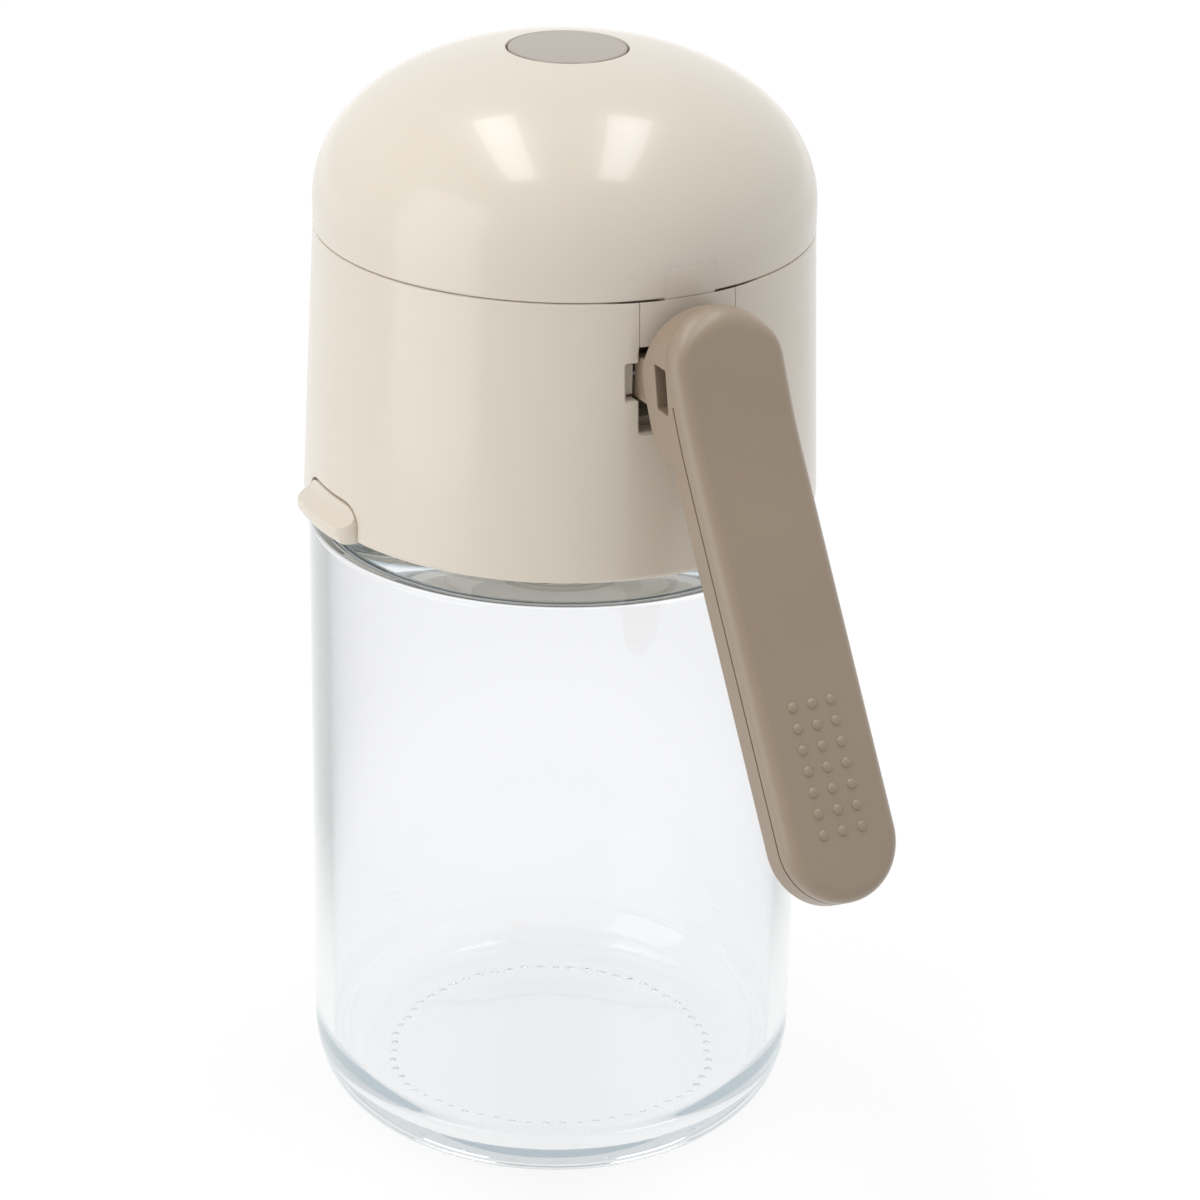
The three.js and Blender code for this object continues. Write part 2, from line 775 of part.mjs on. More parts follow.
// Front of the lever: face with its grip dots, deep head, neck through the slot, boss and finger
function leverShell() {
  const face = lofted([leverRing(0, lever.coverDepth), ...rimRings(lever.rimRadius, lever.rimRadius, -1)]);
  const half = lever.width / 2;
  const under = lever.coverDepth / 2;
  const rim = faceOut(lever.top) - lever.rimRadius / 2;
  const [crownX, , top] = leverPoint(lever.top, 0, rim);
  const crown = top - leverHead.crownSlope * crownX;
  const low = -half - 2 * leverHead.throatDrop;
  const outline = [[-half, low], [half, low], ...arc([0, crown - half], half, half, 0, 180, 4 * arcSteps)];
  const arch = new THREE.Shape(loopOf(outline));
  const [frontX] = leverPoint(lever.bendStart, 0, lever.faceOffset + lever.coverDepth);
  const archGeometry = new THREE.ExtrudeGeometry(arch, { depth: frontX, bevelEnabled: false });
  archGeometry.rotateX(Math.PI / 2).rotateZ(Math.PI / 2);
  const rising = new THREE.Matrix4().makeShear(0, leverHead.crownSlope, 0, 0, 0, 0);
  const archSolid = solidOf(archGeometry.applyMatrix4(rising));
  const seam = (along, depth) => {
    const [x, , z] = leverPoint(along, 0, faceOut(along) - depth);
    return [x, z];
  };
  const profile = prismY(
    [
      [leverHead.back, top],
      [leverHead.back, leverHead.backEnd],
      [leverHead.cheek, -leverHead.cheekDrop],
      [leverHead.heel, -leverHead.heelDrop],
      [leverHead.sole, -leverHead.soleDrop],
      [leverHead.throat, -leverHead.throatDrop],
      seam(leverBack.top, lever.coverDepth),
      seam(leverBack.top, under),
      seam(lever.bendStart / 2, under),
      seam(lever.top + lever.rimRadius, under),
    ],
    2 * lever.width,
  );
  const clear = lever.bossRadius + lever.neckGap / 2;
  const neck = block([clear, -neckHalf, -lever.neckFoot], [leverHead.heel, neckHalf, lever.neckTop]);
  const bossHalf = lever.bossWidth / 2;
  const web = block([0, -bossHalf, -lever.bossRadius], [leverHead.back, bossHalf, lever.bossRadius]);
  const boss = rodY(lever.bossRadius, lever.bossWidth, [0, 0]);
  const finger = prismY(
    [
      [0, lever.fingerRadius - lever.fingerDrop],
      ...arc([-lever.fingerReach, -lever.fingerDrop], lever.fingerRadius, lever.fingerRadius, 90, 270),
      [0, -lever.fingerRadius - lever.fingerDrop],
    ],
    lever.bossWidth - 2 * seatGap,
  );
  const lean = leverWindow.height * Math.tan(radians(leverWindow.lean));
  const { inset, width, top: windowTop, height } = leverWindow;
  const opening = prismY(
    [
      [inset, windowTop],
      [inset + width, windowTop],
      [inset + width + lean, windowTop - height],
      [inset + lean, windowTop - height],
    ],
    2 * lever.width,
  );
  const bore = rodY(leverPin.radius + runGap, lever.width, [0, 0]);
  let shell = face.add(archSolid.intersect(profile)).subtract(opening);
  for (const dot of gripDots()) shell = shell.add(dot);
  return shell.add(neck).add(web).add(boss).add(finger).subtract(bore);
}

// Back half of the arm, behind the parting line, cut off along a slant under the head
function leverBackPlate() {
  const first = lever.coverDepth + seatGap;
  const edge = rimRings(leverBack.rim, leverBack.depth - leverBack.rim, 1).reverse();
  const arm = lofted([...edge, leverRing(0, first)]);
  const [startX, , startZ] = leverPoint(leverBack.top, 0, faceOut(leverBack.top) - lever.coverDepth);
  const [runX, runZ] = [leverHead.throat - startX, -leverHead.throatDrop - startZ];
  const slant = (share, along) => {
    const [x, , z] = leverPoint(along, 0, 0);
    return [startX + share * runX + x, startZ + share * runZ + z];
  };
  const gap = 2 * seatGap;
  const head = prismY(
    [slant(-1, gap), slant(2, gap), slant(2, gap - 2 * lever.width), slant(-1, gap - 2 * lever.width)],
    2 * lever.width,
  );
  return arm.subtract(head);
}

// Torsion spring on the lever's pin, from the bottom of its first turn to the top of its last
function leverSpring() {
  const start = lever.bossWidth / 2 + seatGap + spring.wire;
  const points = [new THREE.Vector3(-spring.legLength, start, -spring.radius)];
  const count = spring.turns * spring.turnSteps;
  for (let i = 0; i <= count; i++) {
    const turn = i / spring.turnSteps;
    const angle = 2 * Math.PI * turn - Math.PI / 2;
    const y = start + spring.pitch * turn;
    points.push(new THREE.Vector3(spring.radius * Math.cos(angle), y, spring.radius * Math.sin(angle)));
  }
  const last = points[points.length - 1];
  points.push(new THREE.Vector3(-spring.legLength, last.y, last.z));
  const round = arc([0, 0], spring.wire, spring.wire, 0, 360, spring.sides).slice(1);
  const section = new THREE.Shape(loopOf(round));
  const extrudePath = new THREE.CatmullRomCurve3(points);
  const steps = count + spring.legSteps;
  return solidOf(new THREE.ExtrudeGeometry(section, { steps, extrudePath, bevelEnabled: false }));
}

// Cradle of the lever's pin: two ears on a base that stands on the collar
function leverBracket() {
  const base = webTop + seatGap - pivotZ;
  const ear = [
    [-bracket.back, base],
    [bracket.foot, base],
    [bracket.foot, -bracket.slopeFoot],
    [bracket.front, -bracket.slopeTop],
    [bracket.front, bracket.top],
    [-bracket.back, bracket.top],
  ];
  const inner = neckHalf + seatGap;
  const outer = inner + bracket.earWidth;
  const floor = block([-bracket.back, -outer, base], [bracket.foot, outer, base + bracket.baseThickness]);
  const bore = rodY(leverPin.radius + runGap, 2 * outer + overrun, [0, 0]);
  return floor.add(plateY(ear, inner, outer)).add(plateY(ear, -outer, -inner)).subtract(bore);
}

// Rod along X at the tab's pin, wider by a margin and longer by another
function tabRod(margin, extra) {
  const radius = tab.pinRadius + margin;
  const length = tab.armWidth + 2 * (seatGap + tab.earWidth) + extra;
  const geometry = new THREE.CylinderGeometry(radius, radius, length, pinFacets);
  return solidOf(geometry.rotateZ(Math.PI / 2).translate(0, tabPinY, tabPinZ));
}

// Tab: scooped face and flared lip in the sleeve's edge, on an arm that hangs from the pin
function releaseTab() {
  const shoulder = Math.sqrt(jar.shoulderRadius ** 2 - housing.shoulderShown ** 2);
  const inner = jarRadius - jar.shoulderRadius + shoulder + seatGap;
  const top = footHeight + tab.height;
  const outer = sleeveRadius(top);
  const root = -tabPinY - tab.armThickness / 2;
  const low = footHeight + tab.lipHeight + tab.scoop;
  const body = turned([
    [inner, footHeight],
    [outer + tab.lipReach - tab.lipHeight / 3, footHeight],
    [outer + tab.lipReach, footHeight + tab.lipHeight / 3],
    [outer + tab.lipReach, footHeight + tab.lipHeight],
    [outer + tab.scoop, low],
    [outer - tab.scoop, low + tab.scoop],
    [outer - tab.scoop, top - tab.scoop],
    [outer, top],
    [root, top],
    [root, low],
    [inner, low],
  ], shellFacets);
  const arm = block(
    [-tab.armWidth / 2, tabPinY - tab.armThickness / 2, low],
    [tab.armWidth / 2, tabPinY + tab.armThickness / 2, tabPinZ + tab.armTop],
  );
  const face = tabPrism(tab.width, tab.height, tab.cornerRadius);
  return body.intersect(face).add(arm).subtract(tabRod(runGap, overrun));
}

// The pot, each moving assembly in its own group at its pivot
const pot = new THREE.Group();
const head = new THREE.Group();
head.add(
  piece("collar", neckCollar(), finishes.inner),
  piece("neck_gasket", neckGasket(), finishes.silicone),
  piece("pour_funnel", pourFunnel(), finishes.inner),
  piece("shaker_disc", shakerDisc(), finishes.inner),
  piece("deck_plate", deckPlate(), finishes.inner),
  piece("housing", sleeve(), finishes.cream),
  piece("hinge_block", hingeBlock(), finishes.cream),
  piece("lifter", lifterSlide(), finishes.inner),
  piece("hinge_pin", rodY(hinge.pinRadius, hinge.pinLength, [hingeX, hingeZ]), finishes.steel),
  piece("tab_pin", tabRod(0, 0), finishes.steel),
  piece("release_tab", releaseTab(), finishes.cream),
);

const leverGroup = new THREE.Group();
leverGroup.position.set(pivotX, 0, pivotZ);
leverGroup.add(
  piece("lever_bracket", leverBracket(), finishes.inner),
  piece("lever_pin", rodY(leverPin.radius, leverPin.length, [0, 0]), finishes.steel),
  piece("lever_shell", leverShell(), finishes.taupe),
  piece("lever_back", leverBackPlate(), finishes.taupe),
  piece("lever_spring", leverSpring(), finishes.steel),
);

const lidGroup = new THREE.Group();
lidGroup.add(
  piece("lid_dome", lidDome(), finishes.cream),
  piece("top_disc", discInsert(), finishes.taupe),
  piece("lid_liner", lidLiner(), finishes.inner),
  piece("lid_seal", lidSeal(), finishes.silicone),
);

pot.add(piece("glass_jar", glassJar(), finishes.glass), head, leverGroup, lidGroup);

export default pot;
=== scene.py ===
# Seasoning pot: glass jar, cream head with a squeeze lever, and a hinged dome lid
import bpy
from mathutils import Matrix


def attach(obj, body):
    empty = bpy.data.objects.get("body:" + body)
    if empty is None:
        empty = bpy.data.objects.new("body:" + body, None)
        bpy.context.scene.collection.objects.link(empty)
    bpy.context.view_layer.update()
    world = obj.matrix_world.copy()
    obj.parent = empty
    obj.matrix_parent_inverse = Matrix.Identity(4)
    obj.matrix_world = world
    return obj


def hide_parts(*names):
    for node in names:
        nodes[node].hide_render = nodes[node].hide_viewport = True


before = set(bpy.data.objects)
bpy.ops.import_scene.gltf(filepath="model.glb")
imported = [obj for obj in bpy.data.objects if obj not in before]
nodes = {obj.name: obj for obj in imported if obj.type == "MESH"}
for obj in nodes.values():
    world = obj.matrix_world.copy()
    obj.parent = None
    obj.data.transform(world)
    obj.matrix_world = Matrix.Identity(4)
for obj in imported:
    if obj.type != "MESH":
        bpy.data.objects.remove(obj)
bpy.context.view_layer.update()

import bmesh
import bpy
import numpy as np
from mathutils import Matrix, Vector

mm = 0.001
print("frame loaded:", len(nodes), "solids")


# Shapes, in millimetres until they are put into a mesh

def arcPoints(centre, size, start, end, steps=24):
    # centre plus size times the cosine and sine of evenly spaced angles
    angle = np.radians(np.linspace(start, end, steps))
    across = centre[0] + size[0] * np.cos(angle)
    return np.column_stack([across, centre[1] + size[1] * np.sin(angle)])


def softened(corners, samples=6):
    # each corner, given with its reach, becomes the curve (1-s)^2 A + 2s(1-s) C + s^2 B,
    # where A and B lie at the reach from the corner C towards its two neighbours
    table = np.array(corners, float)
    point, reach = table[:, :2], table[:, 2:]
    toBefore = np.roll(point, 1, 0) - point
    toAfter = np.roll(point, -1, 0) - point
    first = point + toBefore / np.linalg.norm(toBefore, axis=1)[:, None] * reach
    last = point + toAfter / np.linalg.norm(toAfter, axis=1)[:, None] * reach
    s = np.linspace(0, 1, samples)[None, :, None]
    curve = (1 - s) ** 2 * first[:, None] + 2 * s * (1 - s) * point[:, None] + s**2 * last[:, None]
    return curve.reshape(-1, 2)


def capped(rings):
    # faces of a tube given as rings of points, with a cap at each end
    levels, count = len(rings), len(rings[0])
    last = (levels - 1) * count
    caps = [list(range(count)), list(range(last, last + count))]
    return gridFaces(levels, count, False, True) + caps


def meshPiece(name, points, faces):
    # an object from points in millimetres
    mesh = bpy.data.meshes.new(name)
    mesh.from_pydata((np.asarray(points, float) * mm).tolist(), [], faces)
    weld(mesh)
    piece = bpy.data.objects.new(name, mesh)
    bpy.context.scene.collection.objects.link(piece)
    return piece


def gridFaces(rows, columns, closeRows, closeColumns):
    # quads between neighbouring rows and columns of a grid of points
    index = np.arange(rows * columns).reshape(rows, columns)
    down = np.roll(index, -1, 0)
    across = np.roll(index, -1, 1)
    both = np.roll(down, -1, 1)
    quads = np.stack([index, across, both, down], -1)
    quads = quads[: rows if closeRows else rows - 1, : columns if closeColumns else columns - 1]
    return quads.reshape(-1, 4).tolist()


def revolved(name, profile, turns=192, shaped=None):
    # radius times cosine and sine of the angle round Z; shaped may move the grid of points
    profile = np.asarray(profile, float)
    angle = np.linspace(0, 2 * np.pi, turns, endpoint=False)[None, :]
    radius, height = profile[:, :1], profile[:, 1:]
    grid = np.stack([radius * np.cos(angle), radius * np.sin(angle), height + 0 * angle], -1)
    if shaped:
        grid = shaped(grid)
    return meshPiece(name, grid.reshape(-1, 3), gridFaces(*grid.shape[:2], True, True))


def carried(name, outline, low, high, axis):
    # a flat outline carried straight along X, Y or Z, with a cap at each end
    outline = np.asarray(outline, float)
    count = len(outline)
    ends = np.repeat([low, high], count)[:, None]
    both = np.vstack([outline, outline])
    order = {"X": (2, 0, 1), "Y": (0, 2, 1), "Z": (0, 1, 2)}[axis]
    points = np.hstack([both, ends])[:, order]
    return meshPiece(name, points, capped([outline, outline]))


def combine(piece, tool, operation="DIFFERENCE"):
    # joins, cuts or trims a piece with another one, which is used up
    change = piece.modifiers.new("combine", "BOOLEAN")
    change.operation = operation
    change.solver = "EXACT"
    change.object = tool
    settle(piece)
    bpy.data.meshes.remove(tool.data)
    return piece


def settle(piece):
    # the shape with its modifiers becomes the piece's own mesh
    graph = bpy.context.evaluated_depsgraph_get()
    mesh = bpy.data.meshes.new_from_object(piece.evaluated_get(graph))
    old = piece.data
    piece.modifiers.clear()
    piece.data = mesh
    bpy.data.meshes.remove(old)


def finished(piece, edge=0, angle=38):
    # rounds the edges that turn by more than an angle if an edge width is given, and smooths the rest
    if edge:
        rounding = piece.modifiers.new("round", "BEVEL")
        rounding.width = edge * mm
        rounding.segments = 3
        rounding.limit_method = "ANGLE"
        rounding.angle_limit = np.radians(angle)
        rounding.use_clamp_overlap = True
        settle(piece)
    mesh = piece.data
    weld(mesh)
    mesh.polygons.foreach_set("use_smooth", np.ones(len(mesh.polygons), bool))
    mesh.set_sharp_from_angle(angle=np.radians(angle + 8))
    even = piece.modifiers.new("even", "WEIGHTED_NORMAL")
    even.keep_sharp = True
    settle(piece)
    return piece


def weld(mesh):
    # merges doubled points, drops faces without area and turns the rest outwards
    work = bmesh.new()
    work.from_mesh(mesh)
    bmesh.ops.remove_doubles(work, verts=work.verts, dist=2e-6)
    bmesh.ops.dissolve_degenerate(work, edges=work.edges, dist=1e-6)
    bmesh.ops.recalc_face_normals(work, faces=work.faces)
    work.to_mesh(mesh)
    work.free()


# Shader maths: sums and products of wires add Math nodes

class Wire:
    def __init__(self, tree, output=None):
        self.tree = tree
        self.output = output

    def node(self, kind, settings=None, sockets=None, result=0):
        made = self.tree.nodes.new(kind)
        for name, value in (settings or {}).items():
            if name == "stops":
                ramp = made.color_ramp.elements
                for place, (where, colour) in enumerate(value):
                    stop = ramp[place] if place < 2 else ramp.new(where)
                    stop.position = where
                    stop.color = (*colour, 1)
            else:
                setattr(made, name, value)
        for name, value in (sockets or {}).items():
            if isinstance(value, Wire):
                self.tree.links.new(value.output, made.inputs[name])
            else:
                made.inputs[name].default_value = value
        return Wire(self.tree, made.outputs[result] if made.outputs else None)

    def maths(self, operation, first, second):
        return self.node("ShaderNodeMath", {"operation": operation}, {0: first, 1: second})

    def __add__(self, other):
        return self.maths("ADD", self, other)

    def __radd__(self, other):
        return self.maths("ADD", other, self)

    def __sub__(self, other):
        return self.maths("SUBTRACT", self, other)

    def __mul__(self, other):
        return self.maths("MULTIPLY", self, other)


def linear(colour):
    # a screen colour of 0 to 255 as the linear colour that a shader takes
    share = np.array(colour, float) / 255
    return tuple(np.where(share <= 0.04045, share / 12.92, ((share + 0.055) / 1.055) ** 2.4))


def newMaterial(name):
    material = bpy.data.materials.new(name)
    material.use_nodes = True
    material.node_tree.nodes.clear()
    return material, Wire(material.node_tree)


def output(wire, surface, volume=None):
    sockets = {"Surface": surface}
    if volume:
        sockets["Volume"] = volume
    wire.node("ShaderNodeOutputMaterial", sockets=sockets)


def objectPlace(wire):
    return wire.node("ShaderNodeTexCoord", result=3)


def noise(wire, place, size, detail, roughness=0.5):
    # grain of a size in millimetres
    return wire.node("ShaderNodeTexNoise", {"noise_dimensions": "3D"}, {
        "Vector": place, "Scale": 1 / (size * mm), "Detail": detail, "Roughness": roughness})


def mixed(wire, share, first, second):
    sockets = {0: share, 6: (*first, 1), 7: (*second, 1)}
    return wire.node("ShaderNodeMix", {"data_type": "RGBA"}, sockets, 2)


def bump(wire, height, depth, strength=1.0):
    # height of 0 to 1 becomes a relief of a depth in millimetres
    return wire.node("ShaderNodeBump", sockets={
        "Height": height, "Distance": depth * mm, "Strength": strength})


def rayKinds(wire, *kinds):
    # 1 where a ray is of the kind and 0 elsewhere, or the ray's depth
    return [wire.node("ShaderNodeLightPath", result=kind) for kind in kinds]


def mouldedPlastic(name, look):
    # coloured plastic with a faint cloudiness, a fine moulded grain and uneven gloss
    material, wire = newMaterial(name)
    place = objectPlace(wire)
    clouds = noise(wire, place, look["cloudSize"], 3.0)
    grain = noise(wire, place, look["grainSize"], 2.0, 0.6)
    smears = noise(wire, place, look["smearSize"], 4.0, 0.65)
    colour = mixed(wire, clouds, linear(look["dark"]), linear(look["light"]))
    gloss = look["roughness"] + (smears - 0.5) * look["glossSpread"]
    gloss = gloss + (grain - 0.5) * look["glossGrain"]
    height = grain * look["grainShare"] + clouds * (1 - look["grainShare"])
    relief = bump(wire, height, look["relief"])
    surface = wire.node("ShaderNodeBsdfPrincipled", sockets={
        "Base Color": colour, "Roughness": gloss, "Normal": relief, "IOR": look["ior"],
        "Subsurface Weight": look["softness"], "Subsurface Radius": (1.0, 0.8, 0.6),
        "Subsurface Scale": look["softReach"] * mm,
        "Coat Weight": look["coat"], "Coat Roughness": look["coatRoughness"]})
    output(wire, surface)
    return material


creamLook = {
    "light": (235, 226, 211), "dark": (230, 220, 204), "softReach": 2,
    "cloudSize": 22, "grainSize": 0.5, "smearSize": 9,
    "roughness": 0.24, "glossSpread": 0.07, "glossGrain": 0.04, "grainShare": 0.15, "relief": 0.02,
    "ior": 1.5, "softness": 0.08, "coat": 0.26, "coatRoughness": 0.03,
}
taupeLook = {
    "light": (163, 144, 123), "dark": (154, 135, 115), "softReach": 2,
    "cloudSize": 16, "grainSize": 0.22, "smearSize": 7,
    "roughness": 0.46, "glossSpread": 0.08, "glossGrain": 0.1, "grainShare": 0.8, "relief": 0.012,
    "ior": 1.48, "softness": 0.0, "coat": 0.7, "coatRoughness": 0.34,
}
discLook = {
    "light": (160, 147, 132), "dark": (153, 140, 125), "softReach": 2,
    "cloudSize": 16, "grainSize": 0.22, "smearSize": 5,
    "roughness": 0.3, "glossSpread": 0.06, "glossGrain": 0.05, "grainShare": 0.6, "relief": 0.006,
    "ior": 1.5, "softness": 0.0, "coat": 0.6, "coatRoughness": 0.12,
}
innerLook = {
    "light": (238, 233, 224), "dark": (231, 225, 214), "softReach": 2,
    "cloudSize": 18, "grainSize": 0.4, "smearSize": 6,
    "roughness": 0.38, "glossSpread": 0.1, "glossGrain": 0.06, "grainShare": 0.4, "relief": 0.015,
    "ior": 1.5, "softness": 0.1, "coat": 0.0, "coatRoughness": 0.2,
}
siliconeLook = {
    "light": (243, 241, 236), "dark": (232, 230, 224), "softReach": 2,
    "cloudSize": 8, "grainSize": 0.3, "smearSize": 4,
    "roughness": 0.6, "glossSpread": 0.12, "glossGrain": 0.08, "grainShare": 0.5, "relief": 0.02,
    "ior": 1.41, "softness": 0.3, "coat": 0.0, "coatRoughness": 0.3,
}
creamPlastic = mouldedPlastic("creamPlastic", creamLook)
taupePlastic = mouldedPlastic("taupePlastic", taupeLook)
discPlastic = mouldedPlastic("discPlastic", discLook)
innerPlastic = mouldedPlastic("innerPlastic", innerLook)
siliconeRubber = mouldedPlastic("siliconeRubber", siliconeLook)

steelLook = {
    "light": (205, 206, 208), "dark": (165, 166, 169), "lineSize": 0.15, "stretch": 40,
    "relief": 0.004, "roughness": 0.22, "glossSpread": 0.16,
}


def drawnSteel(look):
    # bright steel with fine lines along Y, the way that pins and wire are drawn
    material, wire = newMaterial("drawnSteel")
    along = wire.node("ShaderNodeMapping", sockets={
        "Vector": objectPlace(wire), "Scale": (1, 1 / look["stretch"], 1)})
    lines = noise(wire, along, look["lineSize"], 3.0, 0.6)
    colour = mixed(wire, lines, linear(look["dark"]), linear(look["light"]))
    output(wire, wire.node("ShaderNodeBsdfPrincipled", sockets={
        "Base Color": colour, "Metallic": 1.0,
        "Roughness": look["roughness"] + lines * look["glossSpread"],
        "Normal": bump(wire, lines, look["relief"])}))
    return material


steel = drawnSteel(steelLook)

glassLook = {
    "tint": (0.964, 0.967, 0.974), "roughness": 0.0, "ior": 1.5, "waveSize": 24, "wave": 0.05,
    "waveStrength": 0.6,
    "absorbColour": (0.36, 0.38, 0.40), "density": 5.0, "shadowTint": (0.96, 0.97, 0.97),
    "lostDepth": 2.5, "lostTint": (0.82, 0.86, 0.88),
}


def clearGlass(look):
    # clear glass with the faint waves of pressed ware
    # shadow rays and soft light pass straight through
    material, wire = newMaterial("clearGlass")
    waves = noise(wire, objectPlace(wire), look["waveSize"], 1.0)
    body = wire.node("ShaderNodeBsdfPrincipled", sockets={
        "Base Color": (*look["tint"], 1), "Roughness": look["roughness"], "IOR": look["ior"],
        "Transmission Weight": 1.0, "Normal": bump(wire, waves, look["wave"], look["waveStrength"])})
    through = wire.node("ShaderNodeBsdfTransparent", sockets={"Color": (*look["shadowTint"], 1)})
    straight = wire.maths("MAXIMUM", *rayKinds(wire, "Is Shadow Ray", "Is Diffuse Ray"))
    surface = wire.node("ShaderNodeMixShader", sockets={0: straight, 1: body, 2: through})
    # a ray that keeps bouncing inside the wall is let out with a tint, and not cut off black
    lost = wire.maths("GREATER_THAN", *rayKinds(wire, "Glossy Depth"), look["lostDepth"])
    letOut = wire.node("ShaderNodeBsdfTransparent", sockets={"Color": (*look["lostTint"], 1)})
    surface = wire.node("ShaderNodeMixShader", sockets={0: lost, 1: surface, 2: letOut})
    depth = wire.node("ShaderNodeVolumeAbsorption", sockets={
        "Color": (*look["absorbColour"], 1), "Density": look["density"]})
    output(wire, surface, depth)
    return material


clearJar = clearGlass(glassLook)
print("materials made")


def dress(piece, material, body, stands=()):
    # gives a new piece its material and its body, and hides the solids that it stands for
    piece.data.materials.clear()
    piece.data.materials.append(material)
    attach(piece, body)
    if stands:
        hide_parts(*stands)


# Glass jar

jar = {
    "radius": 37.3, "wall": 2.8, "floor": 4.8, "bodyHeight": 96.7, "corner": (6.9, 10.5),
    "footWidth": 3.8, "footEdge": 0.5, "punt": 0.9, "puntSlope": 13, "puntEdge": 5.0,
    "shoulder": 4.2, "shoulderDepth": 5.1, "shoulderBend": 1.6, "neckRadius": 30, "neckWall": 3,
    "neckFoot": 1.2, "mouth": 118, "mouthEdge": 1.1, "bead": 1.0, "beadHeight": 3.2,
    "beadSlope": 1.2, "innerEdge": 1.4, "turns": 480,
}
stipple = {"ring": 25.2, "width": 0.7, "count": 60, "height": 0.46, "stray": 0.22, "rows": 26}


def jarProfile(size):
    # outer wall from the foot to the mouth, then the inner wall back to the axis
    inner = size["radius"] - size["wall"]
    footOuter = size["radius"] - size["corner"][0]
    footInner = footOuter - size["footWidth"]
    shoulder = size["shoulder"]
    shoulderTop = size["bodyHeight"] + shoulder
    innerCorner = (size["corner"][0] - size["wall"] / 2, size["corner"][1] - size["floor"] / 2)
    neckInner = size["neckRadius"] - size["neckWall"]
    underside, bend = shoulderTop - size["shoulderDepth"], size["shoulderBend"]
    beadOuter = size["neckRadius"] + size["bead"]
    beadFoot = size["mouth"] - size["beadHeight"]
    # the punt's two soft corners take 12 points; close rows between them carry the dimples
    punt = softened([
        (0, size["punt"], 0), (footInner - size["puntSlope"], size["punt"], size["puntEdge"]),
        (footInner, 0, size["footEdge"]), (footOuter, 0, 0)])
    slope = np.linspace(stipple["ring"] - 1, footInner - 0.6, stipple["rows"])
    slope = np.column_stack([slope, size["punt"] * (footInner - slope) / size["puntSlope"]])
    foot = np.vstack([punt[:12], slope, punt[12:18]])
    ring = np.column_stack([np.linspace(footInner + 0.55, footOuter, 8), np.zeros(8)])
    neck = softened([
        (size["radius"] - shoulder, shoulderTop, 0),
        (size["neckRadius"], shoulderTop, size["neckFoot"]),
        (size["neckRadius"], beadFoot - size["beadSlope"], 0.5), (beadOuter, beadFoot, 0.5),
        (beadOuter, size["mouth"], size["mouthEdge"]), (neckInner, size["mouth"], size["mouthEdge"]),
        (neckInner, underside, size["innerEdge"]), (inner - bend, underside, 0)], 7)
    floorCentre = (inner - innerCorner[0], size["floor"] + innerCorner[1])
    return np.vstack([
        foot, ring,
        arcPoints((footOuter, size["corner"][1]), size["corner"], -90, 0, 26),
        arcPoints((size["radius"] - shoulder, size["bodyHeight"]), (shoulder,) * 2, 0, 90, 16),
        neck,
        arcPoints((inner - bend, underside - bend), (bend,) * 2, 90, 0, 10),
        arcPoints(floorCentre, innerCorner, 0, -90, 24),
        [(0, size["floor"])],
    ])


def stippled(grid):
    # raises a ring of small round dimples in the foot: height times (1 - (distance / width)^2)^2
    # height and place on the ring vary from dimple to dimple by a sine of its number
    radius = np.hypot(grid[..., 0], grid[..., 1])
    turn = np.arctan2(grid[..., 1], grid[..., 0]) / (2 * np.pi) * stipple["count"]
    number = np.round(turn)
    aside = (turn - number) * 2 * np.pi * stipple["ring"] / stipple["count"]
    ring = stipple["ring"] + stipple["stray"] * np.sin(number * 1.7)
    distance = np.hypot(radius - ring, aside) / stipple["width"]
    height = stipple["height"] * (0.75 + 0.25 * np.sin(number * 2.4))
    lift = height * np.clip(1 - distance**2, 0, None) ** 2
    underside = grid[..., 2] < 1
    grid[..., 2] += np.where(underside, lift, 0)
    return grid


glassJar = finished(revolved("glassJar", jarProfile(jar), jar["turns"], stippled), angle=60)
dress(glassJar, clearJar, "jar", ["glass_jar"])
print("glass jar made")


# Sleeve of the head, with the sizes of the dome that swings clear of it

dome = {
    "radius": 36.2, "foot": 140.69, "skirt": 3.41, "rise": 22.6, "wall": 2.0,
    "widthPower": 2 / 2.21, "heightPower": 2 / 2.08, "footEdge": 0.45, "innerEdge": 0.3,
    "knuckle": 1.8, "knuckleIn": 4.2, "knuckleOut": 7.8, "knuckleFace": 35.0,
    "pinEnd": 7.3, "bore": 0.9, "lugGap": 0.008,
}
head = {
    "foot": 100.0, "seam": 140.6, "footRadius": 38.0, "topRadius": 36.2, "wall": 2.0, "lip": 0.9,
    "innerLip": 0.5, "seamEdge": 0.35, "innerSeamEdge": 0.3, "slot": 7.5, "slotFoot": 121.8,
    "notch": 9.3, "notchLow": 126.55, "notchHigh": 131.85, "narrowFrom": 1, "narrowTo": 2,
    "narrowShare": 0.3, "inside": 29.7, "outside": 44, "rim": 0.42, "corner": 0.4,
    "hinge": (34.0, 142.7), "swingGap": 0.14,
    "deckLedge": 135.9, "webLedge": 122.0, "ledge": 1.0, "ledgeHeight": 1.4,
}


def sleeveRadius(z):
    share = (z - head["foot"]) / (head["seam"] - head["foot"])
    return head["footRadius"] + (head["topRadius"] - head["footRadius"]) * share


def domeCurve(offset, steps=40):
    # radius times cos^p and height times sin^q over a quarter turn
    quarter = np.linspace(0, np.pi / 2, steps)
    width = np.append(np.cos(quarter[:-1]) ** dome["widthPower"], 0)
    height = np.sin(quarter) ** dome["heightPower"]
    foot = dome["foot"] + dome["skirt"]
    radius, rise = dome["radius"] - offset, dome["rise"] - offset
    return np.column_stack([radius * width, foot + rise * height])


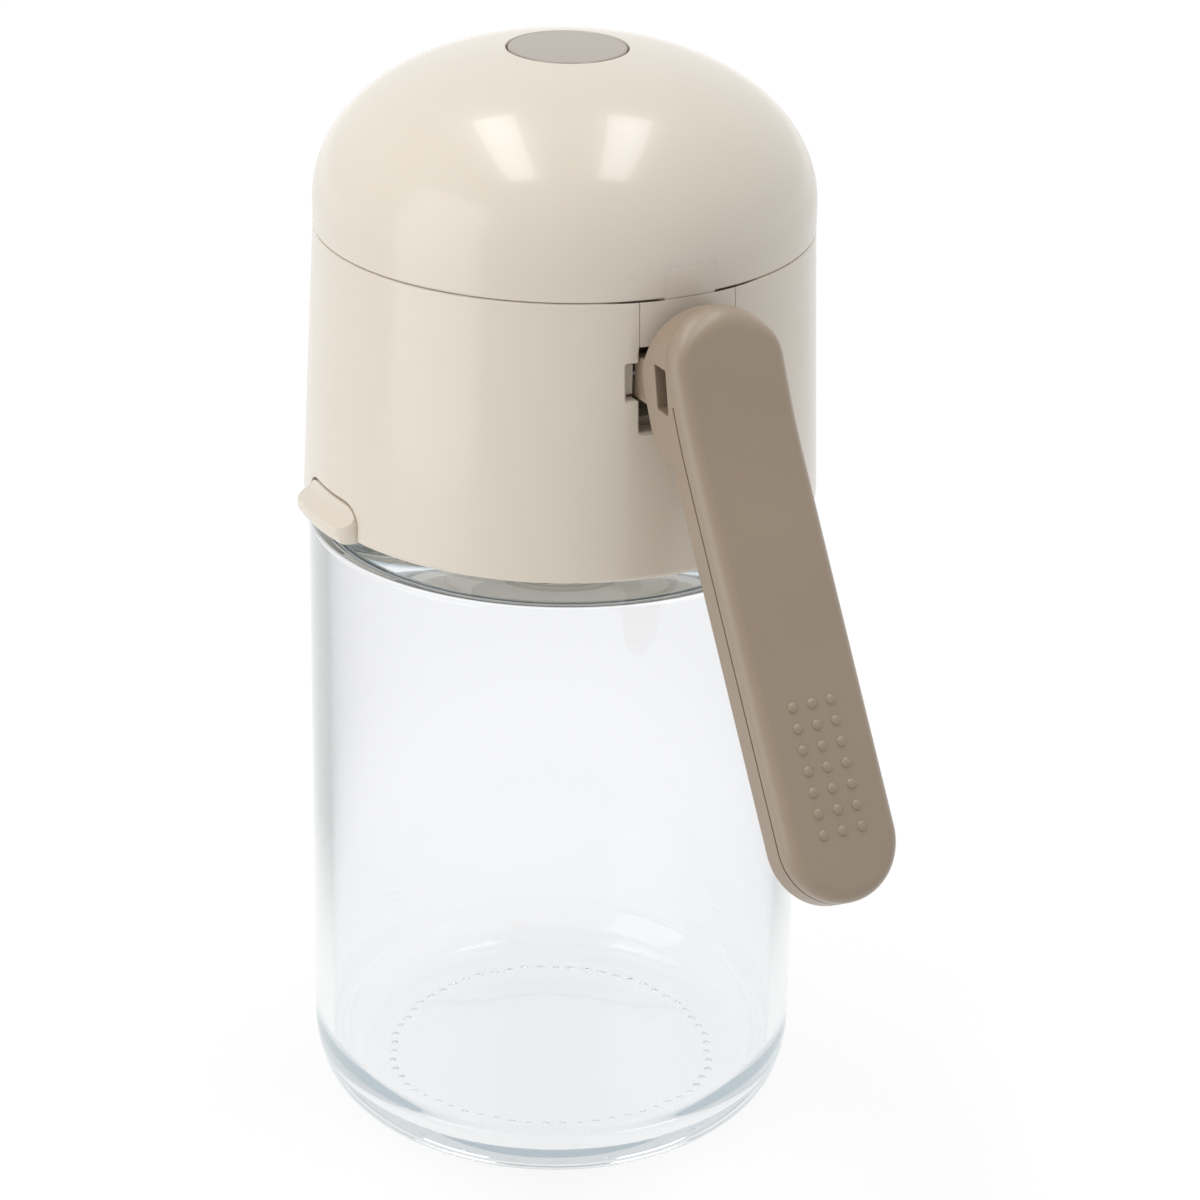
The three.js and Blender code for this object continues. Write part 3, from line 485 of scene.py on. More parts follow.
def boxPiece(low, high):
    # a block between two corners
    outline = [(low[0], low[1]), (high[0], low[1]), (high[0], high[1]), (low[0], high[1])]
    return carried("block", outline, low[2], high[2], "Z")


def rodAlongY(centre, radius, low, high):
    return carried("rod", arcPoints(centre, (radius, radius), 0, 360, 65)[:-1], low, high, "Y")


def swingPiece():
    # space swept by the lid's lower edge: round the hinge, its radius at a place y is the distance
    # from the hinge to the edge there, plus a gap
    hingeX, hingeZ = head["hinge"]
    reach = np.sqrt(dome["radius"] ** 2 - hingeX**2)
    y = np.linspace(-reach, reach, 41)[:, None]
    behind = np.sqrt(dome["radius"] ** 2 - y**2) - hingeX
    radius = np.hypot(behind, hingeZ - dome["foot"]) + head["swingGap"]
    angle = np.linspace(0, 2 * np.pi, 72, endpoint=False)[None, :]
    x, z = hingeX + radius * np.cos(angle), hingeZ + radius * np.sin(angle)
    rings = np.stack([x, y + 0 * angle, z], -1)
    return meshPiece("swing", rings.reshape(-1, 3), capped(rings))


def quarterRound(rim):
    # growth of an outline and depth below the surface along a quarter circle, from the inside out
    turn = np.radians([0, 20, 40, 60, 80])
    return [(rim * (1 - np.cos(a)), rim * (1 - np.sin(a))) for a in turn]


def rimmedCutter(outline, rim, inside, outside, facing):
    # an outline carried straight in, which grows towards the sleeve's surface and so rounds its edge
    # the distance from the axis is that of the surface less the depth below it
    levels = [(0, None, inside), *((grow, below, None) for grow, below in quarterRound(rim)),
              (rim, None, outside)]
    rings = []
    for grow, below, flat in levels:
        across, height = outline(grow).T
        if below is None:
            depth = np.full(len(across), flat)
        else:
            depth = np.sqrt((sleeveRadius(height) - below) ** 2 - across**2)
        place = [depth, across, height] if facing == "X" else [across, -depth, height]
        rings.append(np.stack(place, -1))
    return meshPiece("cutter", np.reshape(rings, (-1, 3)), capped(rings))


def slotOutline(grow):
    # slot with a notch at each side, seen from the lever's side, with slightly rounded corners
    # beside the panel it grows less
    slot, notch, foot = head["slot"] + grow, head["notch"] + grow, head["slotFoot"] - grow
    low, high, top = head["notchLow"] - grow, head["notchHigh"] + grow, head["seam"] + 4
    outer, inner = head["corner"] + grow, max(head["corner"] - grow, 0.05)
    narrow = head["slot"] + grow * head["narrowShare"]
    right = [
        (narrow, top, 0.2), (narrow, high + head["narrowTo"], 0.5),
        (slot, high + head["narrowFrom"], 0.3),
        (slot, high, inner), (notch, high, outer), (notch, low, outer), (slot, low, inner),
        (slot, foot, outer)]
    left = [(-across, height, reach) for across, height, reach in right[::-1]]
    return softened(right + left)


def sleevePiece():
    # a tapered ring with two ledges inside, cut by the slot, the lid's swing and the tab's notch
    foot, seam, wall = head["foot"], head["seam"], head["wall"]

    def ledge(top):
        inner = sleeveRadius(top) - wall
        low = top - head["ledgeHeight"]
        return [(inner, top, 0), (inner - head["ledge"], top, 0), (inner - head["ledge"], low, 0),
                (sleeveRadius(low) - wall, low, 0)]

    profile = softened([
        (sleeveRadius(foot) - wall, foot, head["innerLip"]), (sleeveRadius(foot), foot, head["lip"]),
        (sleeveRadius(seam), seam, head["seamEdge"]),
        (sleeveRadius(seam) - wall, seam, head["innerSeamEdge"]),
        *ledge(head["deckLedge"]), *ledge(head["webLedge"])])
    sleeve = revolved("sleeve", profile, 224)
    combine(sleeve, rimmedCutter(slotOutline, head["rim"], head["inside"], head["outside"], "X"))
    combine(sleeve, swingPiece())
    combine(sleeve, rimmedCutter(tabNotchOutline, tab["rim"], tab["innerCut"], tab["outerCut"], "Y"))
    return finished(sleeve)


tab = {
    "half": 7.8, "height": 5.0, "gap": 0.25, "slit": 0.45, "rim": 0.15, "corner": 3.0, "scoop": 1.1,
    "lipReach": 2.6, "lipHeight": 2.3, "border": 0.8, "step": 0.3, "endRound": 2.6,
    "armHalf": 3.9, "arm": 1.5, "armTop": 1.6, "pin": (-33.75, 107.8), "pinRadius": 0.6,
    "inner": 36.0, "innerPlan": 30, "innerCut": 33, "outerCut": 46,
}


def tabOutline(gap, rise):
    # x and z of the tab's rounded top, open below
    half = tab["half"] + gap
    top = head["foot"] + tab["height"] + rise
    corner = tab["corner"] + gap
    return np.vstack([
        [(-half, head["foot"] - 4), (half, head["foot"] - 4)],
        arcPoints((half - corner, top - corner), (corner, corner), 0, 90, 12),
        arcPoints((corner - half, top - corner), (corner, corner), 90, 180, 12)])


def tabNotchOutline(grow):
    return tabOutline(tab["gap"] + grow, tab["slit"] + grow)


sleeve = sleevePiece()
dress(sleeve, creamPlastic, "head", ["housing"])
print("sleeve made")


# Release tab

def tabPiece():
    # a ring with a two-step lip, less a scooped pocket, trimmed to the tab's face and to its plan
    foot = head["foot"]
    top = foot + tab["height"]
    outer = sleeveRadius(top)
    low = foot + tab["lipHeight"] + tab["scoop"]
    root = -tab["pin"][0] - tab["arm"] / 2
    lip, lipTop = outer + tab["lipReach"], foot + tab["lipHeight"]
    profile = softened([
        (tab["inner"], foot, 0), (lip - 0.5, foot, 0.4), (lip - tab["step"], foot + 1.1, 0.15),
        (lip, foot + 1.2, 0.12), (lip, lipTop, 0.35), (lip - 0.9, lipTop + 0.35, 0.4),
        (outer + 0.15, lipTop + 1.2, 0.6), (outer, top, 0.5), (root, top, 0), (root, low, 0),
        (tab["inner"], low, 0)])
    body = revolved("releaseTab", profile, 256)
    scoop = softened([
        (outer + 0.5, top - 0.45, 0.1), (outer - 0.1, top - 0.7, 0.3),
        (outer - tab["scoop"], top - 1.8, 0.6), (outer - 0.1, lipTop + 0.35, 0.7),
        (lip - 0.9, lipTop - 0.1, 0.4), (lip - 0.4, lipTop + 0.6, 0.1), (lip + 2, top, 0.1)])
    pocket = revolved("pocket", scoop, 256)
    depth = (-tab["outerCut"], -tab["innerPlan"])
    pocketFace = carried("pocketFace", tabOutline(-tab["border"], 1), *depth, "Y")
    combine(body, combine(pocket, pocketFace, "INTERSECT"))
    combine(body, carried("face", tabOutline(0, 0), *depth, "Y"), "INTERSECT")
    half, shoulder = tab["half"], np.sqrt(lip**2 - tab["half"] ** 2)
    right = [
        (half + 1, -tab["innerPlan"], 0.1), (half + 1, 1.2 - outer, 0.1), (half, 0.8 - outer, 0.1),
        (half, -shoulder, tab["endRound"])]
    left = [(-across, y, reach) for across, y, reach in right[::-1]]
    plan = softened([left[-1], *right, (0, -lip - 1, 2.0), *left[:-1]], 10)
    combine(body, carried("plan", plan, foot - 1, top + 1, "Z"), "INTERSECT")
    pinY, pinZ = tab["pin"]
    arm = boxPiece(
        (-tab["armHalf"], pinY - tab["arm"] / 2, low),
        (tab["armHalf"], pinY + tab["arm"] / 2, pinZ + tab["armTop"]))
    combine(body, arm, "UNION")
    circle = arcPoints((pinY, pinZ), (tab["pinRadius"],) * 2, 0, 360, 33)[:-1]
    combine(body, carried("bore", circle, -9, 9, "X"))
    return finished(body)


releaseTab = tabPiece()
dress(releaseTab, creamPlastic, "tab", ["release_tab"])
print("tab made")


# Panel above the lever, with the lug of the hinge

lug = {
    "half": 3.9, "radius": 2.2, "inner": 1.4, "bore": 0.9, "crown": 0.3, "line": 1.3,
    "reach": 3.1, "crest": 0.25, "drop": 0.02, "root": 2.4, "topRound": 0.7,
    "panelHalf": 7.46, "panelFoot": 134.2, "shellInside": 31.3,
}


def panelPiece():
    # a block with the lug on top, trimmed to the curved surface of sleeve and dome
    # the lug's outer side is an arc about the hinge, so that the lid turns past it
    seam, panelFoot, panelHalf = head["seam"], lug["panelFoot"], lug["panelHalf"]
    hingeX, hingeZ = head["hinge"]
    face = hingeX - lug["inner"]
    back = face + lug["drop"]
    top, root, bend = hingeZ + lug["radius"], seam - lug["root"], lug["topRound"]
    flank = domeCurve(0)[:14]
    shellProfile = np.vstack([
        [(lug["shellInside"], panelFoot), (sleeveRadius(panelFoot), panelFoot),
         (sleeveRadius(seam), seam)],
        flank, [(lug["shellInside"], flank[-1, 1])]])
    piece = boxPiece((face, -panelHalf, panelFoot), (head["outside"], panelHalf, seam - lug["drop"]))
    combine(piece, swingPiece())
    rise = np.degrees(np.arcsin((lug["radius"] + lug["crest"]) / lug["reach"]))
    side = np.vstack([
        [(back, root), (hingeX + lug["reach"], root)],
        arcPoints((hingeX, hingeZ), (lug["reach"],) * 2, 0, rise, 12),
        arcPoints((back + bend, top - bend), (bend, bend), 90, 180, 8)])
    knob = carried("knob", side, -lug["half"], lug["half"], "Y")
    combine(knob, carried("crown", lugOutline(0, lug["crest"] + 0.1), 30, 40, "X"), "INTERSECT")
    combine(piece, knob, "UNION")
    combine(piece, revolved("shellTrim", shellProfile, 224), "INTERSECT")
    inside, outside = sleeveRadius(seam) - lug["line"], sleeveRadius(seam) + 1
    line = [(inside, seam), (outside, seam), (outside, dome["foot"]), (inside, dome["foot"])]
    combine(piece, revolved("seamLine", line, 224))
    combine(piece, rodAlongY(head["hinge"], lug["bore"], -9, 9))
    piece.name = "hingePanel"
    return finished(piece)


def lugOutline(gap, rise):
    # y and z of the lug seen from behind, with a rounded crown
    half = lug["half"] + gap
    top = head["hinge"][1] + lug["radius"] + rise
    crown = lug["crown"] + gap
    return np.vstack([
        [(-half, head["seam"] - 4), (half, head["seam"] - 4)],
        arcPoints((half - crown, top - crown), (crown, crown), 0, 90, 10),
        arcPoints((crown - half, top - crown), (crown, crown), 90, 180, 10)])


hingePanel = panelPiece()
dress(hingePanel, creamPlastic, "head", ["hinge_block"])
print("hinge panel made")


# Dome lid and its disc

disc = {
    "radius": 8.5, "thickness": 1.6, "gap": 0.15, "rim": 0.25, "edge": 0.35, "drop": 0.4, "seat": 0.3,
    "backing": 2, "backingTop": 1.2,
}


def discTop():
    return dome["foot"] + dome["skirt"] + dome["rise"] - disc["drop"]


def domePiece():
    # shell with a backing under the disc and hinge knuckles, less the lug's notch, pin and recess
    foot, radius = dome["foot"], dome["radius"]
    inner = radius - dome["wall"]
    lip = softened([
        (inner, foot + 2, 0), (inner, foot, dome["innerEdge"]), (radius, foot, dome["footEdge"]),
        (radius, foot + dome["skirt"], 0)])
    profile = np.vstack([domeCurve(dome["wall"])[::-1], lip[5:-6], domeCurve(0)])
    lid = revolved("domeLid", profile, 256)
    top, seat = discTop(), disc["thickness"] + disc["seat"]
    low, high = top - seat - disc["backing"], top - disc["backingTop"]
    wide = disc["radius"] + disc["backing"]
    backing = softened([(0, low, 0), (wide, low, 0.5), (wide, high, 0), (0, high, 0)], 3)
    combine(lid, revolved("backing", backing, 96), "UNION")
    hingeX, hingeZ = head["hinge"]
    for side in (-1, 1):
        low, high = sorted((side * dome["knuckleIn"], side * dome["knuckleOut"]))
        knuckle = rodAlongY(head["hinge"], dome["knuckle"], low, high)
        trim = boxPiece((hingeX - 3, low, foot + 0.02), (dome["knuckleFace"], high, hingeZ + 3))
        combine(knuckle, trim, "INTERSECT")
        combine(lid, knuckle, "UNION")
    gap = dome["lugGap"]
    start = hingeX - 2 * lug["inner"]
    combine(lid, carried("lugNotch", lugOutline(gap, gap), start, head["outside"], "X"))
    # the round cut is a hair narrower than the notch, so that no sides of theirs share a plane
    notchHalf = lug["half"] + gap * 0.9
    combine(lid, rodAlongY(head["hinge"], lug["reach"] + gap, -notchHalf, notchHalf))
    combine(lid, rodAlongY(head["hinge"], dome["bore"], -dome["pinEnd"], dome["pinEnd"]))
    # the recess widens where it meets the dome's surface
    wide, rim = disc["radius"] + disc["gap"], disc["rim"]
    surface = domeCurve(0)
    mouth = np.interp(wide, surface[::-1, 0], surface[::-1, 1])
    recess = softened([
        (0, top - seat, 0), (wide, top - seat, 0), (wide, mouth - rim, 0),
        (wide + rim, mouth + 0.05, 0), (wide + rim, top + 4, 0), (0, top + 4, 0)], 2)
    combine(lid, revolved("recess", recess, 192))
    return finished(lid)


def discPiece():
    top = discTop()
    profile = softened([
        (0, top - disc["thickness"], 0), (disc["radius"], top - disc["thickness"], 0.2),
        (disc["radius"], top - disc["edge"] * 0.2, disc["edge"]), (0, top, 0)])
    return finished(revolved("topDisc", profile, 192))


domeLid = domePiece()
dress(domeLid, creamPlastic, "lid", ["lid_dome"])
topDisc = discPiece()
dress(topDisc, discPlastic, "lid", ["top_disc"])
print("dome made")


# Lever: along is measured down the arm from the pivot, across to its sides, out to its face

lever = {
    "pivot": (30.8, 129.2), "tilt": 31.3, "face": 16.3, "tip": 77.8, "top": -4.6, "width": 17.4,
    "cover": 2.8, "rim": 2.0, "topRim": 4.2, "rimBlend": 7, "bendStart": 13, "bendBlend": 4,
    "bendSlope": 0.128, "backTop": 10.6, "backDepth": 6.8, "backRim": 0.8, "crownSlope": 0.34,
    "groove": 0.3, "grooveDepth": 0.35, "grooveTop": 8.2, "boss": 3.2, "bossHalf": 3.2,
    "bossReach": 6.8, "neckHalf": 7.3, "neckTop": 3.4, "neckFoot": 2.6, "neckReach": 10.2,
    "finger": (-9.4, -1.6), "fingerRound": 1, "bore": 1.25,
}
# side view of the head from its back down to the arm: x, z and reach of each corner, from the pivot
leverHead = [
    (7.8, 2.2, 1.4), (9.0, -0.9, 1.5), (11.0, -5.2, 0.9), (12.4, -6.9, 0.9), (16.4, -8.3, 0.5),
]
window = {
    "inset": 10.7, "width": 3.0, "top": 4.7, "height": 6.0, "lean": 12, "rim": 0.3, "corner": 0.25,
}
dots = {
    "radius": 0.75, "height": 0.35, "sunk": 0.3, "pitch": 3.0, "rowPitch": 2.9, "rows": 7, "columns": 3,
    "last": 9.6,
}


def leverPlace(along, across, out):
    # turns arm coordinates by the tilt and moves them to the pivot
    tilt = np.radians(lever["tilt"])
    x = lever["pivot"][0] + out * np.cos(tilt) + along * np.sin(tilt)
    z = lever["pivot"][1] + out * np.sin(tilt) - along * np.cos(tilt)
    return np.stack([x, across + 0 * x, z], -1)


def faceOut(along):
    # straight along the arm, bent out smoothly at the head
    ahead = lever["bendStart"] - along
    return lever["face"] + lever["bendSlope"] * (np.hypot(ahead, lever["bendBlend"]) + ahead) / 2


def leverOutline(steps=28, straight=60):
    # centre and outward direction of each outline point, from the top round to the tip and back
    half = lever["width"] / 2
    topCentre, tipCentre = lever["top"] + half, lever["tip"] - half
    turn = np.radians(np.linspace(180, 90, steps))
    run = np.linspace(topCentre, tipCentre, straight)[1:-1]
    along = np.concatenate([np.full(steps, topCentre), run, np.full(steps, tipCentre)])
    angle = np.concatenate([turn, np.full(straight - 2, np.pi / 2), np.pi - turn[::-1]])
    direction = np.stack([np.cos(angle), -np.sin(angle)], -1)
    centre = np.stack([along, 0 * along], -1)
    flip = np.array([1, -1])
    return np.vstack([centre, centre[-2:0:-1]]), np.vstack([direction, direction[-2:0:-1] * flip])


def leverRings(levels, rimOf):
    # each level gives the turn of the rounded edge in degrees, the depth of its foot and its way
    centre, direction = leverOutline()
    half = lever["width"] / 2
    rim = rimOf(centre + direction * half)
    rings = []
    for turn, foot, way in levels:
        inset = rim * (1 - np.cos(np.radians(turn)))
        place = centre + direction * (half - inset)[:, None]
        depth = foot(rim) + way * rim * np.sin(np.radians(turn))
        rings.append(leverPlace(place[:, 0], place[:, 1], faceOut(place[:, 0]) - depth))
    return np.array(rings)


def ladderFaces(count, start, flip):
    # quads between the left and right halves of a ring, with a triangle at each end
    i = np.arange(1, count // 2 - 1)
    quads = np.stack([i, i + 1, count - 1 - i, count - i], -1) + start
    ends = [[0, 1, count - 1], [count // 2 - 1, count // 2, count // 2 + 1]]
    faces = quads.tolist() + [[start + v for v in end] for end in ends]
    return [face[::-1] for face in faces] if flip else faces


def loft(name, rings):
    # rings of points joined in order, with a ladder of faces across the first and the last
    levels, count = rings.shape[:2]
    faces = gridFaces(levels, count, False, True)
    faces += ladderFaces(count, 0, True) + ladderFaces(count, (levels - 1) * count, False)
    return meshPiece(name, rings.reshape(-1, 3), faces)


def leverLocal(points):
    # moves x and z from the pivot to the frame
    return [(lever["pivot"][0] + x, lever["pivot"][1] + z) for x, z in points]


def frontRim(place):
    # the edge is rounder at the head than along the arm
    blend = lever["rimBlend"]
    share = np.clip((lever["top"] + blend - place[:, 0]) / blend, 0, 1)
    return lever["rim"] + (lever["topRim"] - lever["rim"]) * share**2 * (3 - 2 * share)


def spinePlace(along, under):
    # a place on the arm's middle line, at a depth under its face
    return leverPlace(np.array(along), np.array(0.0), faceOut(along) - under)


def headBlockPiece():
    # the arch of the head carried along X and rising with it, trimmed to the head's side view
    # where the rounded edge of the face has the crown's slope, the crown runs on from it
    half, slope, rim = lever["width"] / 2, lever["crownSlope"], lever["topRim"]
    turn = np.radians(lever["tilt"]) - np.arctan(slope)
    inset, depth = rim * (1 - np.cos(turn)), rim * (1 - np.sin(turn))
    top = spinePlace(lever["top"] + inset, depth)
    crown = top[2] - slope * top[0]
    bow = arcPoints((0, crown - half), (half, half), 0, 180, 60)
    arch = np.vstack([[(-half, crown - 40), (half, crown - 40)], bow])
    block = carried("headBlock", arch, 30, 52, "X")
    points = np.empty(len(block.data.vertices) * 3)
    block.data.vertices.foreach_get("co", points)
    points = points.reshape(-1, 3)
    points[:, 2] += slope * points[:, 0]
    block.data.vertices.foreach_set("co", points.ravel())
    # the block ends inside the arm, on a line of depths under its face
    along = np.array([14.0, lever["backTop"], 6.5, 1.0, lever["top"] + inset])
    under = np.array([lever["cover"], 2.4, 2.4, 2.8, depth])
    seam = leverPlace(along, 0 * along, faceOut(along) - under)
    low = np.array(leverHead) + [*lever["pivot"], 0]
    above = top[2] + 4
    side = [(low[0, 0], above, 0), *low, *[(x, z, 0) for x, _, z in seam], (top[0], above, 0)]
    return combine(block, carried("headSide", softened(side), -20, 20, "Y"), "INTERSECT")


def grooveRing():
    # thin ring round the arm behind its front, for the parting line
    centre, direction = leverOutline()
    half, cut = lever["width"] / 2, -lever["grooveDepth"]
    sides = []
    for grow, share in ((0.6, 0), (0.6, 1), (cut, 1), (cut, 0)):
        place = centre + direction * (half + grow)
        out = faceOut(place[:, 0]) - lever["cover"] - share * lever["groove"]
        sides.append(leverPlace(place[:, 0], place[:, 1], out))
    sides = np.array(sides)
    ring = meshPiece("groove", sides.reshape(-1, 3), gridFaces(*sides.shape[:2], True, True))
    start = spinePlace(lever["grooveTop"], lever["cover"])
    return combine(ring, boxPiece((25, -20, start[2]), (70, 20, 160)))


def windowPiece():
    # leaning window through the head; near each side it grows, which rounds its edge
    rim, half = window["rim"], lever["width"] / 2
    lean = window["height"] * np.tan(np.radians(window["lean"]))
    left, right = window["inset"], window["inset"] + window["width"]
    top, low = window["top"], window["top"] - window["height"]
    levels = [(rim, half + 5), (rim, half)]
    levels += [(grow, half - below) for grow, below in quarterRound(rim)[::-1]]
    levels += [(grow, -across) for grow, across in levels[::-1]]
    rings = []
    for grow, across in levels:
        corner = window["corner"] + grow
        outline = softened([
            (left - grow, top + grow, corner), (right + grow, top + grow, corner),
            (right + lean + grow, low - grow, corner), (left + lean - grow, low - grow, corner)])
        x, z = np.array(leverLocal(outline)).T
        rings.append(np.stack([x, across + 0 * x, z], -1))
    return meshPiece("window", np.reshape(rings, (-1, 3)), capped(rings))


def leverPiece():
    # the arm lofted from its face to its back, with head, groove, window, neck, boss and finger
    backRim, backDepth = lever["backRim"], lever["backDepth"]
    levels = [(turn, lambda size: size, -1) for turn in np.linspace(90, 0, 12)]
    levels += [(0, lambda size: size + 0.2, 0)]
    front = leverRings(levels, frontRim)
    levels = [(turn, lambda size: backDepth - size, 1) for turn in np.linspace(0, 90, 9)]
    back = leverRings(levels, lambda place: np.full(len(place), backRim))
    arm = loft("lever", np.concatenate([front, back]))
    combine(arm, headBlockPiece(), "UNION")
    combine(arm, grooveRing())
    combine(arm, windowPiece())
    pivotX, pivotZ = lever["pivot"]
    neckHalf, bossHalf, boss = lever["neckHalf"], lever["bossHalf"], lever["boss"]
    combine(arm, boxPiece(
        (pivotX + boss + 0.1, -neckHalf, pivotZ - lever["neckFoot"]),
        (pivotX + lever["neckReach"], neckHalf, pivotZ + lever["neckTop"])), "UNION")
    combine(arm, boxPiece(
        (pivotX, -bossHalf, pivotZ - boss),
        (pivotX + lever["bossReach"], bossHalf, pivotZ + boss)), "UNION")
    combine(arm, rodAlongY(lever["pivot"], boss, -bossHalf, bossHalf), "UNION")
    tipX, tipZ = lever["finger"]
    bend = lever["fingerRound"]
    finger = np.vstack([
        leverLocal([(0, tipZ + bend)]),
        arcPoints((pivotX + tipX, pivotZ + tipZ), (bend, bend), 90, 270, 24),
        leverLocal([(0, tipZ - bend)])])
    combine(arm, carried("finger", finger, -bossHalf + 0.3, bossHalf - 0.3, "Y"), "UNION")
    combine(arm, rodAlongY(lever["pivot"], lever["bore"], -10, 10))
    arm.name = "squeezeLever"
    return finished(arm, angle=42)


def dotsPiece():
    # low round caps in rows on the face: one cap's grid repeated at every place
    u = np.linspace(0, np.pi / 2, 7)[:, None]
    v = np.linspace(0, 2 * np.pi, 20, endpoint=False)[None, :]
    wide = dots["radius"] * np.cos(u)
    cap = np.stack([wide * np.cos(v), wide * np.sin(v), dots["height"] * np.sin(u) + 0 * v], -1)
    sunk = cap[:1].copy()
    sunk[..., 2] = -dots["sunk"]
    cap = np.concatenate([sunk * [0, 0, 1], sunk, cap])
    row, column = np.meshgrid(np.arange(dots["rows"]), np.arange(dots["columns"]), indexing="ij")
    along = (lever["tip"] - dots["last"] - row * dots["rowPitch"]).ravel()[:, None, None]
    across = ((column - (dots["columns"] - 1) / 2) * dots["pitch"]).ravel()[:, None, None]
    places = leverPlace(along + cap[..., 0], across + cap[..., 1], faceOut(along) + cap[..., 2])
    rows, columns = cap.shape[:2]
    start = np.arange(len(places)) * rows * columns
    faces = np.array(gridFaces(rows, columns, False, True)) + start[:, None, None]
    return finished(meshPiece("gripDots", places.reshape(-1, 3), faces.reshape(-1, 4).tolist()))


squeezeLever = leverPiece()
dress(squeezeLever, taupePlastic, "lever", ["lever_shell", "lever_back"])
gripDots = dotsPiece()
dress(gripDots, taupePlastic, "lever")
print("lever made")


# Cradle of the lever's pin, seen through the notch

cradle = {
    "earIn": 7.5, "earOut": 8.8, "back": -2.6, "front": 1.9, "noseFront": 3.2, "noseHalf": 2.3,
    "foot": 0.6, "top": 3.4, "slopeTop": -2.4, "slopeFoot": -4.4, "base": 120.6 - 129.2,
    "baseThickness": 1.5, "bore": 1.25, "edge": 0.35,
}


def cradlePiece():
    # side view of an ear with its nose, carried across; both ears stand on one base
    size = cradle
    pivotX, pivotZ = lever["pivot"]
    ear = leverLocal([
        (size["back"], size["base"]), (size["foot"], size["base"]), (size["foot"], size["slopeFoot"]),
        (size["front"], size["slopeTop"]), (size["noseFront"], -size["noseHalf"]),
        (size["noseFront"], size["noseHalf"]), (size["front"], size["noseHalf"]),
        (size["front"], size["top"]), (size["back"], size["top"])])
    piece = boxPiece(
        (pivotX + size["back"], -size["earOut"], pivotZ + size["base"]),
        (pivotX + size["foot"], size["earOut"], pivotZ + size["base"] + size["baseThickness"]))
    for side in (-1, 1):
        low, high = sorted((side * size["earIn"], side * size["earOut"]))
        combine(piece, carried("ear", ear, low, high, "Y"), "UNION")
    combine(piece, rodAlongY(lever["pivot"], size["bore"], -14, 14))
    piece.name = "pivotCradle"
    return finished(piece, size["edge"])


pivotCradle = cradlePiece()
dress(pivotCradle, innerPlastic, "head", ["lever_bracket"])
print("cradle made")


# Solids that keep their shape get their finish

finishes = {
    "collar": innerPlastic, "pour_funnel": innerPlastic, "shaker_disc": innerPlastic,
    "deck_plate": innerPlastic, "lifter": innerPlastic, "lid_liner": innerPlastic,
    "neck_gasket": siliconeRubber, "lid_seal": siliconeRubber,
    "hinge_pin": steel, "lever_pin": steel, "tab_pin": steel, "lever_spring": steel,
}
for name, material in finishes.items():
    nodes[name].data.materials.clear()
    nodes[name].data.materials.append(material)
print("solids dressed")


# Floor, light and camera

stage = {
    "size": 6.0, "floor": -0.0004, "paleness": 0.9, "fibre": 0.01, "fibreSize": 1.5, "glow": 0.62,
    "glowLevel": 1.2, "wallDim": 0.74, "fade": (0.4, 1.4), "dim": (0.05, 0.12),
}


def seenRays(wire):
    # 1 for rays from the camera, from gloss and through glass, and 0 for the rest
    sight, gloss, glass = rayKinds(wire, "Is Camera Ray", "Is Glossy Ray", "Is Transmission Ray")
    settings = {"operation": "ADD", "use_clamp": True}
    return wire.node("ShaderNodeMath", settings, {0: sight + gloss, 1: glass})


def palePaper(look):
    # pale matt paper; what the camera, gloss and glass see of it is lifted towards white
    # far from the pot it turns white, so that no horizon shows
    # away from the foot, a ray turned back inside a glass wall sees it dim, like a room's far sides
    material, wire = newMaterial("palePaper")
    place = objectPlace(wire)
    fibre = noise(wire, place, look["fibreSize"], 3.0)
    pale = mixed(wire, fibre, (look["paleness"] - look["fibre"],) * 3, (look["paleness"],) * 3)
    matt = wire.node("ShaderNodeBsdfDiffuse", sockets={"Color": pale})
    distance = wire.node("ShaderNodeVectorMath", {"operation": "LENGTH"}, {0: place}, "Value")
    far, beyond = [
        wire.node("ShaderNodeMapRange", {"interpolation_type": "SMOOTHSTEP"}, {
            "Value": distance, "From Min": start, "From Max": end})
        for start, end in (look["fade"], look["dim"])]
    throughGlass, turns = rayKinds(wire, "Is Transmission Ray", "Glossy Depth")
    turnedBack = wire.maths("GREATER_THAN", turns, 0.5)
    white, grey = [
        wire.node("ShaderNodeEmission", sockets={"Color": (1, 1, 1, 1), "Strength": level})
        for level in (look["glowLevel"], look["glowLevel"] * (1 - look["wallDim"]))]
    glowing = wire.node("ShaderNodeMixShader", sockets={
        0: throughGlass * turnedBack * beyond, 1: white, 2: grey})
    share = seenRays(wire) * (look["glow"] + far * (1 - look["glow"]))
    output(wire, wire.node("ShaderNodeMixShader", sockets={0: share, 1: matt, 2: glowing}))
    return material


half, level = stage["size"] / 2 / mm, stage["floor"] / mm
corners = [(-half, -half, level), (half, -half, level), (half, half, level), (-half, half, level)]
floor = meshPiece("floor", corners, [[0, 1, 2, 3]])
floor.data.materials.append(palePaper(stage))

world = bpy.data.worlds.new("studio")
bpy.context.scene.world = world
world.use_nodes = True
world.node_tree.nodes.clear()
sky = Wire(world.node_tree)
studio = {"fill": 0.45}
skyLight = sky.node("ShaderNodeBackground", sockets={
    "Color": (1, 1, 1, 1), "Strength": studio["fill"] + seenRays(sky) * (1 - studio["fill"])})
sky.node("ShaderNodeOutputWorld", sockets={"Surface": skyLight})

view = {
    "turn": 61.4, "distance": 0.491186, "height": 0.302017, "yaw": 0.0128, "pitch": 0.4232,
    "roll": 0.0219, "focal": 3572.577, "frame": 1200, "film": 36, "nearest": 0.01,
}


